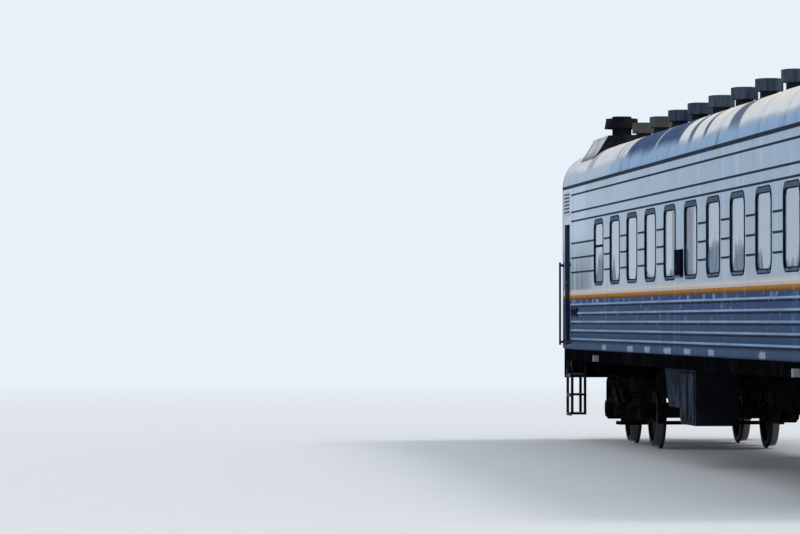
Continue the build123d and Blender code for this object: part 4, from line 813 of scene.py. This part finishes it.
def scuffed_steps():
    gear, colour, roughness = running_gear("scuffed_steps", paint(22, 24, 29), paint(44, 47, 54),
                                           paint(104, 98, 90), 0.7, 0.5)
    # pale outer edges: scuffs with a painted highlight
    edge = gear.rise(gear.unsigned(gear.y), step_edge - 0.004, step_edge)
    scuff_and_highlight = gear.rise(gear.noise(14, (1, 1, 0.5), detail=4, shift=2.0), 0.44, 0.60)
    return gear.done(gear.over(colour, paint(128, 132, 138), edge, scuff_and_highlight, 0.75), roughness)


wear(frame_paint(), "underframe", "buffers", "air_reservoirs", "brake_cylinder", "brake_rods")
wear(scuffed_steps(), "steps")
wear(plate_grey(), "battery_box", "equipment_boxes")
iron = bogie_iron()
for letter in "ab":
    wear(iron, *[f"{part}_{letter}" for part in ("bogie_frame", "swing_bolster", "springs", "dampers",
                                                 "axle_boxes", "brake_gear")])
wear(iron, "couplers")


# %% [markdown]
# A wheel shows three metals: a bright ring where it rolls on the rail, a thin bright flange face, and
# a web that is rust and brake dust. The mask is the distance from the wheel's own axle, which the
# place on the object gives, so it turns with the wheel.

# %% Wheel steel
bogie_middle = 8.5
axle_reach = 1.2
tread_radius = 0.475
axle_height = rail + tread_radius


def wheel_steel():
    wheel = Finish("wheel_steel", Specular_IOR_Level=0.1)
    from_bogie = wheel.apart(wheel.unsigned(wheel.x), bogie_middle)
    radius = wheel.distance(wheel.minus(from_bogie, axle_reach), wheel.minus(wheel.z, axle_height))
    flecks = wheel.noise(26, detail=4)
    cloud = wheel.noise(5, detail=4)
    colour = wheel.over(paint(18, 15, 15), paint(35, 27, 23), wheel.rise(cloud, 0.35, 0.65))
    colour = wheel.over(colour, paint(62, 43, 33), wheel.rise(flecks, 0.58, 0.7), 0.5)
    hub = wheel.fall(radius, 0.12, 0.15)
    colour = wheel.over(colour, paint(30, 28, 28), hub, 0.7)
    rolled = wheel.times(wheel.between(radius, tread_radius - 0.0085, tread_radius + 0.0035, 0.002),
                         wheel.rise(wheel.unsigned(wheel.y), 0.745, 0.752))
    colour = wheel.over(colour, paint(98, 99, 102), rolled, 0.92)
    flange_face = wheel.between(radius, tread_radius - 0.065, tread_radius - 0.012, 0.01)
    colour = wheel.over(colour, paint(84, 78, 72), flange_face, 0.35)
    wheel.feed(wheel.shader.inputs["Metallic"], wheel.ramp(0.05, 0.95, rolled))
    wheel.bump(flecks, 0.0015, 0.5)
    return wheel.done(colour, wheel.ramp(0.8, 0.25, rolled))


wear(wheel_steel(), *[f"wheelset_{letter}{number}" for letter in "ab" for number in (1, 2)])


# %% [markdown]
# Small things that hands and boots polish, such as lock plates, kick plates and tread grips, are bare
# metal gone dull: half metal, half grime.

# %% Rubbed metal
def rubbed_metal():
    metal = Finish("rubbed_metal", Metallic=0.6, Specular_IOR_Level=0.3)
    scratches = metal.noise(60, (1, 1, 0.2), detail=4)
    cloud = metal.noise(7, detail=4)
    colour = metal.over(paint(124, 124, 124), paint(158, 158, 156), scratches)
    colour = metal.over(colour, paint(70, 62, 54), metal.rise(cloud, 0.42, 0.62), 0.6)
    metal.bump(scratches, 0.0004, 0.4)
    return metal.done(colour, metal.ramp(0.38, 0.7, cloud))


metal_finish = rubbed_metal()
print(f"{metal_finish.name}: for fittings of doors, steps and boxes")


# %% [markdown]
# The gangway's rubber tubes are matt black with pale dust in their folds, and their outermost faces are
# polished from being pressed flat while the coach is coupled up. The cords that seal windows and doors
# are the same rubber with less dust, so one function makes both.

# %% Rubber
def rubber(name, dust_share):
    tube = Finish(name, Specular_IOR_Level=0.0)
    cloud = tube.noise(5, (1, 1, 0.6), detail=5)
    creases = tube.noise(40, (1, 1, 0.2), detail=3)
    colour = tube.over(paint(14, 16, 22), paint(30, 31, 36), tube.rise(cloud, 0.35, 0.7))
    colour = tube.over(colour, paint(92, 88, 82), tube.rise(creases, 0.55, 0.75), dust_share)
    pressed = tube.rise(tube.unsigned(tube.x), 12.02, 12.055)
    colour = tube.over(colour, paint(16, 16, 17), pressed, 0.7)
    tube.bump(creases, 0.002, 0.5)
    return tube.done(colour, tube.ramp(0.82, 0.5, pressed))


wear(rubber("rubber", 0.45), "gangway_tubes")
rubber_finish = rubber("cord_rubber", 0.12)
print(f"{rubber_finish.name}: for the seals of windows and doors")

# %% [markdown]
# A tail lamp is one solid of lens and housing, so its finish parts them by the distance from the lens's
# middle. Fine rings in the red glass spread the light. The board holder between the fifth and the sixth
# window is navy, with a bright strip at its foot and painted shade on its end towards end B.

# %% Lamp lenses and board holders
lamp_height = rail + 1.75
lamp_across = 1.22
lens_radius = 0.057
lens_rings = 110.0


def lamp_lens():
    lamp = Finish("lamp_lens", Specular_IOR_Level=0.6)
    across = lamp.apart(lamp.unsigned(lamp.y), lamp_across)
    radius = lamp.distance(lamp.minus(lamp.z, lamp_height), across)
    glass = lamp.fall(radius, lens_radius - 0.001, lens_radius + 0.001)
    rings = lamp.fraction(lamp.times(radius, lens_rings))
    red = lamp.over(paint(116, 14, 14), paint(176, 30, 26), rings)
    housing = lamp.over(paint(30, 34, 42), paint(52, 56, 62), lamp.noise(30, detail=4))
    lamp.bump(lamp.times(rings, glass), 0.0015, 0.5)
    return lamp.done(lamp.over(housing, red, glass), lamp.ramp(0.6, 0.16, glass))


def board_paint():
    board = Finish("board_paint", Specular_IOR_Level=0.0)
    cloud = board.noise(12, detail=4)
    colour = board.over(paint(12, 18, 32), paint(24, 34, 54), board.rise(cloud, 0.3, 0.7))
    foot = board.between(board.z, rail + 2.250, rail + 2.274, 0.004)
    colour = board.over(colour, paint(128, 140, 156), foot, 0.8)
    # painted shade on the end towards end B
    shaded_cheek = board.rise(board.x, 0.205, 0.212)
    colour = board.over(colour, paint(14, 16, 22), shaded_cheek, 0.9)
    board.bump(board.noise(90), 0.0008, 0.4)
    return board.done(colour, board.ramp(0.35, 0.6, cloud))


wear(lamp_lens(), "tail_lamps")
wear(board_paint(), "route_board_holders")


# %% [markdown]
# Through the glass the saloon shows: patterned lino, pale laminate partitions and brown berths. Even a
# half-seen surface gets a real finish, since the coach is looked at from every side. The floor is one
# solid with the bottom plate, so its underside is black.

# %% Saloon finishes
bottom_plate_top = 1.350


def lino():
    floor = Finish("lino", Specular_IOR_Level=0.2)
    speck = floor.noise(180, detail=2)
    colour = floor.over(paint(94, 60, 46), paint(124, 86, 64), speck)
    walked = floor.between(floor.y, 0.40, 0.95, 0.3)
    colour = floor.over(colour, paint(140, 118, 98), walked, 0.45)
    below = floor.fall(floor.z, bottom_plate_top, bottom_plate_top + 0.010)
    colour = floor.over(colour, floor.over(paint(14, 15, 18), paint(40, 38, 38), speck), below)
    floor.bump(speck, 0.0004, 0.3)
    return floor.done(colour, floor.ramp(0.35, 0.6, floor.noise(6, detail=3)))


def laminate(name, pale, dark, grain_stretch):
    board = Finish(name, Specular_IOR_Level=0.45)
    grain = board.noise(26, grain_stretch, detail=5, roughness=0.6)
    colour = board.over(pale, dark, board.rise(grain, 0.4, 0.7))
    kicked = board.fall(board.z, 1.42, 1.6)
    colour = board.over(colour, paint(110, 96, 80), kicked, 0.5)
    board.bump(grain, 0.0005, 0.3)
    return board.done(colour, board.ramp(0.35, 0.55, grain))


wear(lino(), "floor")
panel_board = laminate("panel_board", paint(206, 196, 172), paint(186, 172, 144), (1, 1, 0.1))
wear(panel_board, "bay_partitions", "end_partitions")
berth_board = laminate("berth_board", paint(112, 62, 44), paint(88, 48, 36), (0.3, 1, 1))
wear(berth_board, "berths", "tables")

# %% [markdown]
# Fittings that repeat are made with Geometry Nodes: one small tree draws the fitting, and copies it to
# a list of places. The class below holds such a tree while it is built. Its sizes are named inputs,
# and turning the result into a plain mesh is the last step, so nothing is left live.


# %% A fitting under construction
class Fitting(Tree):
    """A Geometry Nodes tree under construction. Its places come in as the points of a seed mesh."""

    def __init__(self, name, **sizes):
        super().__init__(bpy.data.node_groups.new(name, "GeometryNodeTree"))
        face = self.tree.interface
        face.new_socket("Places", in_out="INPUT", socket_type="NodeSocketGeometry")
        face.new_socket("Finish", in_out="INPUT", socket_type="NodeSocketMaterial")
        face.new_socket("Geometry", in_out="OUTPUT", socket_type="NodeSocketGeometry")
        self.defaults = sizes
        for size in sizes:
            face.new_socket(size, in_out="INPUT", socket_type="NodeSocketFloat")
        inputs = [item for item in face.items_tree if item.in_out == "INPUT"]
        self.identifiers = {item.name: item.identifier for item in inputs}
        self.inlet = self.nodes.new("NodeGroupInput").outputs
        self.outlet = self.nodes.new("NodeGroupOutput").inputs

    def size(self, name):
        return self.inlet[name]

    def node(self, kind, settings=None, **inputs):
        node = self.nodes.new(kind)
        for name, value in (settings or {}).items():
            setattr(node, name, value)
        for name, value in inputs.items():
            self.feed(node.inputs[name.replace("_", " ")], value)
        return node.outputs[0]

    def join(self, *parts):
        node = self.nodes.new("GeometryNodeJoinGeometry")
        for part in parts:
            self.links.new(part, node.inputs[0])
        return node.outputs[0]

    def moved(self, part, x=0.0, y=0.0, z=0.0):
        place = self.node("ShaderNodeCombineXYZ", X=x, Y=y, Z=z)
        return self.node("GeometryNodeTransform", Geometry=part, Translation=place)

    def ring(self, radius, steps):
        return self.node("GeometryNodeCurvePrimitiveCircle", Resolution=steps, Radius=radius)

    def swept(self, line, section, caps=False):
        return self.node("GeometryNodeCurveToMesh", Curve=line, Profile_Curve=section, Fill_Caps=caps)

    def column(self, radius, height, sides):
        """A cylinder that stands on the place."""
        shape = self.node("GeometryNodeMeshCylinder", Vertices=sides, Radius=radius, Depth=height)
        return self.moved(shape, z=self.divided(height, 2.0))

    def finish(self, part):
        """Copy the part to every point of the seed mesh, its Z along the point's own facing."""
        facing = self.node("GeometryNodeInputNamedAttribute", {"data_type": "FLOAT_VECTOR"}, Name="facing")
        turn = self.node("FunctionNodeAlignRotationToVector", {"axis": "Z"}, Vector=facing)
        copies = self.node("GeometryNodeInstanceOnPoints", Points=self.inlet["Places"], Instance=part,
                           Rotation=turn)
        real = self.node("GeometryNodeRealizeInstances", Geometry=copies)
        coated = self.node("GeometryNodeSetMaterial", Geometry=real, Material=self.inlet["Finish"])
        self.links.new(coated, self.outlet["Geometry"])

    def make(self, name, body, slot_name, material, places, **sizes):
        """Turn the tree into a plain mesh on a body. Places are (point, facing) pairs."""
        seed = bpy.data.meshes.new(name + "_places")
        seed.from_pydata([point for point, facing in places], [], [])
        attribute = seed.attributes.new("facing", "FLOAT_VECTOR", "POINT")
        for entry, (point, facing) in zip(attribute.data, places):
            entry.vector = facing
        holder = bpy.data.objects.new(name + "_places", seed)
        modifier = holder.modifiers.new("shape", "NODES")
        modifier.node_group = self.tree
        modifier[self.identifiers["Finish"]] = material
        for size, value in {**self.defaults, **sizes}.items():
            modifier[self.identifiers[size]] = value
        bpy.context.scene.collection.objects.link(holder)
        graph = bpy.context.evaluated_depsgraph_get()
        mesh = bpy.data.meshes.new_from_object(holder.evaluated_get(graph))
        holder.modifiers.remove(modifier)
        bpy.data.objects.remove(holder)
        return settle(name, mesh, body)


# %% [markdown]
# A new piece rides on a body, so it moves with it. Several fittings wear the finish of the CAD node that
# they sit on, and finish_of looks it up.


# %% Settling a piece on its body
def settle(name, mesh, body):
    """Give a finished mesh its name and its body."""
    mesh.name = name
    piece = bpy.data.objects.new(name, mesh)
    bpy.context.scene.collection.objects.link(piece)
    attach(piece, body)
    triangles = sum(len(face.vertices) - 2 for face in mesh.polygons)
    print(f"{name}: {triangles} triangles on {body}")
    return piece


def finish_of(name):
    """The finish that a CAD node wears."""
    return nodes[name].material_slots[0].material


# %% [markdown]
# Coil springs carry each axle box and each end of the bolster. A real coil is a round bar wound in a
# helix, with its end turns closed and ground flat. A spiral curve swept with a round section gives the
# open turns, and a closed ring at each end stands for the ground turns. Inside each runs its guide.

# %% Coil springs
spring = Fitting("coil_spring", Radius=0.062, Wire=0.0155, Height=0.339, Turns=5.0, Guide=0.036)
wire = spring.size("Wire")
spring_height = spring.size("Height")
profile = spring.ring(wire, 8)
open_height = spring.minus(spring_height, spring.times(wire, 4.0))
spiral = spring.node("GeometryNodeCurveSpiral", Resolution=20, Rotations=spring.size("Turns"),
                     Start_Radius=spring.size("Radius"), End_Radius=spring.size("Radius"),
                     Height=open_height)
end_ring = spring.swept(spring.ring(spring.size("Radius"), 24), profile)
spring.finish(spring.join(
    spring.moved(spring.swept(spiral, profile, caps=True), z=spring.times(wire, 2.0)),
    spring.moved(end_ring, z=wire),
    spring.moved(end_ring, z=spring.minus(spring_height, wire)),
    spring.column(spring.size("Guide"), spring_height, 16)))

both = (-1, 1)
upright = (0, 0, 1)
bogie_axles = {"a": (-bogie_middle - axle_reach, -bogie_middle + axle_reach),
               "b": (bogie_middle - axle_reach, bogie_middle + axle_reach)}
spring_reach = 0.235
spring_line = 1.018
spring_seat_height = 0.461
plank_seat_height = 0.345


def spring_feet(axles, z):
    """The places of a bogie's eight axle springs at a height."""
    return [((axle + shift * spring_reach, side * spring_line, z), upright)
            for axle in axles for shift in both for side in both]


for letter, axles in bogie_axles.items():
    centre_feet = [((sum(axles) / 2, side * spring_line, plank_seat_height), upright) for side in both]
    coils = spring.make(f"axle_coils_{letter}", f"bogie_{letter}", "bogie_iron", iron,
                        spring_feet(axles, spring_seat_height))
    spring.make(f"bolster_coils_{letter}", f"bogie_{letter}", "bogie_iron", iron, centre_feet,
                Radius=0.094, Wire=0.020, Height=0.3325, Turns=4.0, Guide=0.058)
    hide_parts(f"springs_{letter}")

# %% [markdown]
# The springs' solids also held the thin seats under the coils. A seat is a plain disc. The same tree,
# with other sizes, later makes lock plates, handrail feet, socket caps, hinge knuckles and pipes.

# %% Spring seats
disc = Fitting("disc", Radius=0.080, Height=0.018)
disc.finish(disc.column(disc.size("Radius"), disc.size("Height"), 32))
seat_height = 0.018
for letter, axles in bogie_axles.items():
    disc.make(f"spring_seats_{letter}", f"bogie_{letter}", "bogie_iron", iron,
              spring_feet(axles, spring_seat_height - seat_height))

# %% [markdown]
# Bolt heads hold the axle box covers, the gangway clamps, the hood's strips and the handrails' feet.
# Each is a six-sided head on a thin round washer, so few faces are enough.

# %% Bolt heads
bolt = Fitting("bolt_head", Across=0.024, Height=0.010, Washer=0.017)
head_height = bolt.size("Height")
washer_height = bolt.times(head_height, 0.3)
head = bolt.column(bolt.divided(bolt.size("Across"), 1.73), head_height, 6)
washer = bolt.column(bolt.size("Washer"), washer_height, 12)
bolt.finish(bolt.join(bolt.moved(head, z=washer_height), washer))

cover_bolts = 8
bolt_circle = 0.135
box_face = 1.150


def cover_bolt_places(axle, side):
    """Eight bolts in a circle on the face of one axle box."""
    turns = [2 * pi * (number + 0.5) / cover_bolts for number in range(cover_bolts)]
    return [((axle + bolt_circle * cos(turn), side * box_face, axle_height + bolt_circle * sin(turn)),
             (0, side, 0)) for turn in turns]


for letter, axles in bogie_axles.items():
    heads = [place for axle in axles for side in both for place in cover_bolt_places(axle, side)]
    bolt.make(f"axle_box_bolts_{letter}", f"bogie_{letter}", "bogie_iron", iron, heads)

# %% [markdown]
# Black rubber cord seals every window: one round the frame, and one round the pane. Both follow a
# rectangle with rounded corners, which a quadrilateral curve and a fillet draw directly.

# %% Window seals
seal = Fitting("window_seal", Width=window_width, Height=window_height, Corner=0.15, Cord=0.007)
outline = seal.node("GeometryNodeCurvePrimitiveQuadrilateral", Width=seal.size("Width"),
                    Height=seal.size("Height"))
rounded = seal.node("GeometryNodeFilletCurve", {"mode": "POLY"}, Curve=outline,
                    Radius=seal.size("Corner"), Limit_Radius=True, Count=7)
seal.finish(seal.swept(rounded, seal.ring(seal.size("Cord"), 8)))

frame_margin = 0.038
frame_top_margin = 0.060
light_width = window_width - 2 * frame_margin
light_height = window_height - frame_margin - frame_top_margin


def at_windows(y, z):
    """The places of all windows of both sides, at a distance from the middle and a height."""
    return [((x, side * y, z), (0, side, 0)) for x in window_x for side in both]


seal.make("window_outer_seals", "coach", "rubber", rubber_finish,
          at_windows(wall_face + 0.002, window_bottom + window_height / 2))
seal.make("window_pane_seals", "coach", "rubber", rubber_finish,
          at_windows(wall_face - 0.004, window_bottom + frame_margin + light_height / 2),
          Width=light_width - 0.008, Height=light_height - 0.008, Corner=0.108, Cord=0.008)

# %% [markdown]
# A rolled edge stiffens every thin round shell: the lip and the rim of each roof vent, the covers of the
# axle boxes, and the rims of the tail lamps. All are hoops of round bar, which is a circle swept
# with a small round section.

# %% Hoops
hoop = Fitting("hoop", Radius=0.160, Wire=0.005)
hoop.finish(hoop.swept(hoop.ring(hoop.size("Radius"), 40), hoop.ring(hoop.size("Wire"), 6)))

corners = [(end, side) for end in both for side in both]
frame_finish = finish_of("underframe")
vent_shift = 0.355
vent_y = -0.97
vent_rims = [((x + vent_shift, vent_y, z), upright) for x in window_x for z in (drum_bottom, drum_top)]
hoop.make("vent_rims", "coach", "vent_paint", finish_of("roof_vents"), vent_rims, Radius=0.158)
lamp_face = 11.855
lamp_rims = [((end * lamp_face, side * lamp_across, lamp_height), (end, 0, 0)) for end, side in corners]
hoop.make("tail_lamp_rims", "coach", "frame_paint", frame_finish, lamp_rims, Radius=0.064, Wire=0.006)
cover_face = 1.180
for letter, axles in bogie_axles.items():
    covers = [((axle, side * cover_face, axle_height), (0, side, 0)) for axle in axles for side in both]
    hoop.make(f"axle_box_rims_{letter}", f"bogie_{letter}", "bogie_iron", iron, covers, Radius=0.111)

# %% [markdown]
# Flat bars are the other stock part. One tree makes them at any size, lying on whatever face they are
# given: grips across the step treads, strips on the gangway and on the hood, kick plates on the
# doors, the socket box and the latches of the cabinets.

# %% Tread grips
bar = Fitting("flat_bar", Length=0.50, Width=0.007, Thickness=0.004)
bar_size = bar.node("ShaderNodeCombineXYZ", X=bar.size("Length"), Y=bar.size("Width"),
                    Z=bar.size("Thickness"))
bar.finish(bar.moved(bar.node("GeometryNodeMeshCube", Size=bar_size),
                     z=bar.divided(bar.size("Thickness"), 2.0)))

tread_tops = [rail + 0.95, rail + 0.66, rail + 0.38]
tread_middle = 1.4175
grip_pitch = 0.034
grips = [((end * door_middle, side * (tread_middle + number * grip_pitch), top), upright)
         for end, side in corners for top in tread_tops
         for number in (-2.5, -1.5, -0.5, 0.5, 1.5, 2.5)]
bar.make("tread_grips", "coach", "frame_paint", metal_finish, grips)

# %% [markdown]
# Rubber gangway tubes are clamped to the end wall by a flat strip with a row of bolts. The bar and the
# bolt need no new tree: what changes is the list of places, and it comes by a loop from one pitch.

# %% Gangway clamps
end_face = 11.8
clamp_bottom = 1.45
clamp_height = 1.96
clamp_y = 0.764
clamp_thickness = 0.007
clamp_middle = clamp_bottom + clamp_height / 2
clamps = [((end * end_face, side * clamp_y, clamp_middle), (end, 0, 0)) for end, side in corners]
bar.make("gangway_clamps", "coach", "end_paint", finish_of("end_wall_b"), clamps,
         Length=clamp_height, Width=0.045, Thickness=clamp_thickness)
clamp_bolt_heights = [clamp_bottom + 0.08 + number * 0.15 for number in range(13)]
clamp_bolts = [((end * (end_face + clamp_thickness), side * clamp_y, z), (end, 0, 0))
               for end, side in corners for z in clamp_bolt_heights]
bolt.make("gangway_clamp_bolts", "coach", "end_paint", frame_finish, clamp_bolts, Across=0.020,
          Height=0.008, Washer=0.014)

# %% [markdown]
# The boiler hood's sloping cover is a loose plate, so it can come off for work on the flue. Strips run
# round its edge, with bolts. They face along the slope's own normal, which follows from its two edges.

# %% Hood cover strips
hood_low_y, hood_low_z = -1.425, 4.0685
slope_run, slope_climb = 0.210, 0.3345
slope_length = sqrt(slope_run ** 2 + slope_climb ** 2)
slope_out = (0, -slope_climb / slope_length, slope_run / slope_length)
strip_shares = (0.075, 0.925)


def on_slope(x, share, lift=0.0):
    """A point of the hood's sloping side, share of the way up, lifted off it along its normal."""
    y = hood_low_y + share * slope_run + lift * slope_out[1]
    z = hood_low_z + share * slope_climb + lift * slope_out[2]
    return ((x, y, z), slope_out)


hood_finish = finish_of("boiler_hood")
long_strips = [on_slope(-9.875, share) for share in strip_shares]
bar.make("hood_long_strips", "coach", "hood_soot", hood_finish, long_strips, Length=1.54, Width=0.045,
         Thickness=0.004)
end_strips = [on_slope(x, 0.5) for x in (-10.622, -9.128)]
bar.make("hood_end_strips", "coach", "hood_soot", hood_finish, end_strips, Length=0.045, Width=0.37,
         Thickness=0.005)
hood_bolts = [on_slope(-10.55 + number * 0.15, share, 0.004) for number in range(10)
              for share in strip_shares]
bolt.make("hood_bolts", "coach", "hood_soot", hood_finish, hood_bolts, Across=0.022)

# %% [markdown]
# Every side door has a rubber cord round its light, a round plate behind its lever, a key plate below
# that, and a kick plate along its foot. They ride with the leaf when it swings.

# %% Side door fittings
leaf_face = 1.4795
handle_x = 10.999
handle_z = 2.277
key_drop = 0.13
kick_plate_z = 1.512
door_light_z = door_light_bottom + door_light_height / 2
for doorway in doorways:
    door = f"door_{doorway}"
    end = -1 if doorway.startswith("a") else 1
    side = -1 if doorway.endswith("bay_side") else 1
    out = (0, side, 0)
    light_place = ((end * door_middle, side * leaf_face, door_light_z), out)
    seal.make(f"door_light_seal_{doorway}", door, "rubber", rubber_finish, [light_place], Width=0.43,
              Height=door_light_height, Corner=0.06, Cord=0.008)
    plates = [((end * handle_x, side * leaf_face, z), out) for z in (handle_z, handle_z - key_drop)]
    disc.make(f"lock_plates_{doorway}", door, "rail_paint", metal_finish, plates, Radius=0.030,
              Height=0.006)
    foot_place = ((end * door_middle, side * leaf_face, kick_plate_z), out)
    bar.make(f"kick_plate_{doorway}", door, "rail_paint", metal_finish, [foot_place], Length=0.56,
             Width=0.12, Thickness=0.003)

# %% [markdown]
# A handrail's foot ends in a round plate with three screws against the wall. Sixteen feet are written
# as one list of corners, and the plates and the screws are both counted out from it.

# %% Handrail feet
rail_finish = finish_of("handrails")
foot_thickness = 0.007
screw_circle = 0.028
handrail_x = (10.86, 11.64)
foot_heights = (rail + 1.42, rail + 2.555)
feet = [(end * x, side, z) for end, side in corners for x in handrail_x for z in foot_heights]
foot_places = [((x, side * wall_face, z), (0, side, 0)) for x, side, z in feet]
disc.make("handrail_feet", "coach", "rail_paint", rail_finish, foot_places, Radius=0.036,
          Height=foot_thickness)
screws = [((x + screw_circle * cos(turn), side * (wall_face + foot_thickness), z + screw_circle * sin(turn)),
           (0, side, 0)) for x, side, z in feet for turn in (pi / 2, pi * 7 / 6, pi * 11 / 6)]
bolt.make("handrail_foot_screws", "coach", "rail_paint", rail_finish, screws, Across=0.009,
          Height=0.004, Washer=0.006)

# %% [markdown]
# Near end A a socket box for a supply cable sits on the ribs, with two round caps. Under the floor, the
# battery box and the cabinets have lids on knuckle hinges, and the cabinets a latch at each end. All of
# it is bars and discs again, so only sizes and places are given.

# %% Boxes: socket caps, hinges and latches
box_finish = finish_of("battery_box")
socket_x = -10.28
socket_z = 1.886
socket_depth = 0.024
towards_bay_side = (0, -1, 0)
bar.make("socket_box", "coach", "frame_paint", box_finish,
         [((socket_x, -wall_face, socket_z), towards_bay_side)], Length=0.62, Width=0.115,
         Thickness=socket_depth)
socket_caps = [((socket_x + shift * 0.15, -wall_face - socket_depth, socket_z), towards_bay_side)
               for shift in both]
disc.make("socket_caps", "coach", "frame_paint", frame_finish, socket_caps, Radius=0.044, Height=0.014)

hinge_z = 1.133
hinge_line = 1.4505
along = (1, 0, 0)
battery_middle = -0.215
lid_shift = 0.3025
hinge_shift = 0.16
battery_hinges = [((battery_middle + lid * lid_shift + shift * hinge_shift, -hinge_line, hinge_z), along)
                  for lid in both for shift in both]
cabinet_hinges = [((x, hinge_line, hinge_z), along) for x in (-3.65, -3.05, -2.45, 1.55, 2.15, 2.75)]
disc.make("box_hinges", "coach", "frame_paint", box_finish, battery_hinges + cabinet_hinges,
          Radius=0.011, Height=0.10)
# Columns: place of a latch along the coach, its height.
latch_places = [(-3.65, rail + 0.71), (-2.35, rail + 0.71), (1.55, rail + 0.79), (2.85, rail + 0.79)]
latches = [((x, 1.4465, z), (0, 1, 0)) for x, z in latch_places]
bar.make("cabinet_latches", "coach", "frame_paint", metal_finish, latches, Length=0.07, Width=0.045,
         Thickness=0.014)

# %% [markdown]
# Two straight runs go the whole length through the webs of the cross members: the brake pipe beside the
# centre sill and the cable conduit on the aisle side. A pipe is the disc tree drawn out long, and a hoop
# round it makes the collar at each web that it passes.

# %% Pipe runs
pipe_start = -11.69
pipe_length = 23.38
pipe_z = 1.262
member_pitch = 1.7
web_faces = [number * member_pitch + face * 0.049 for number in range(-6, 7) for face in both]
for name, y, radius in (("brake_pipe", -0.42, 0.021), ("cable_conduit", 0.86, 0.029)):
    disc.make(name, "coach", "frame_paint", frame_finish, [((pipe_start, y, pipe_z), along)],
              Radius=radius, Height=pipe_length)
    hoop.make(f"{name}_collars", "coach", "frame_paint", frame_finish,
              [((x, y, pipe_z), along) for x in web_faces], Radius=radius + 0.003, Wire=0.005)

# %% [markdown]
# The roof is laid in sheets, and a flat weld strip covers each joint. The strip follows the same three
# arcs as the roof, so the tree draws those arcs, sweeps a flat section along them, stands them upright
# across the coach and copies them to the joints.

# %% Roof weld strips
weld = Fitting("roof_weld", Crown=3.92, Crown_Half=0.3086, Shoulder=0.52, Width=0.034, Thickness=0.006)
weld_section = weld.node("GeometryNodeCurvePrimitiveQuadrilateral", Width=weld.size("Thickness"),
                         Height=weld.size("Width"))
shoulder_sweep = weld.minus(pi / 2, weld.size("Crown_Half"))
crown_sweep = weld.times(weld.size("Crown_Half"), 2.0)
crown_centre = 0.488
shoulder_centre = 1.0325


def weld_arc(radius, start, sweep, y, z, steps):
    """One arc of the cross section as a flat strip, stood up across the coach with its centre at y, z."""
    line = weld.node("GeometryNodeCurveArc", Resolution=steps, Radius=radius, Start_Angle=start,
                     Sweep_Angle=sweep)
    centre = weld.node("ShaderNodeCombineXYZ", X=0.0, Y=y, Z=z)
    return weld.node("GeometryNodeTransform", Geometry=weld.swept(line, weld_section, caps=True),
                     Translation=centre, Rotation=(pi / 2, 0, pi / 2))


shoulder = weld.size("Shoulder")
weld.finish(weld.join(
    weld_arc(weld.size("Crown"), shoulder_sweep, crown_sweep, 0.0, crown_centre, 24),
    weld_arc(shoulder, 0.0, shoulder_sweep, shoulder_centre, cornice, 14),
    weld_arc(shoulder, weld.minus(pi, shoulder_sweep), shoulder_sweep, -shoulder_centre, cornice, 14)))
joint_shift = 1.20
first_joint = window_x[0] + joint_shift - window_pitch
sheet_joints = [first_joint] + [x + joint_shift for x in window_x] + [-11.2, 10.5]
weld.make("roof_welds", "coach", "roof_paint", finish_of("roof_crown"),
          [((x, 0, 0), upright) for x in sheet_joints])
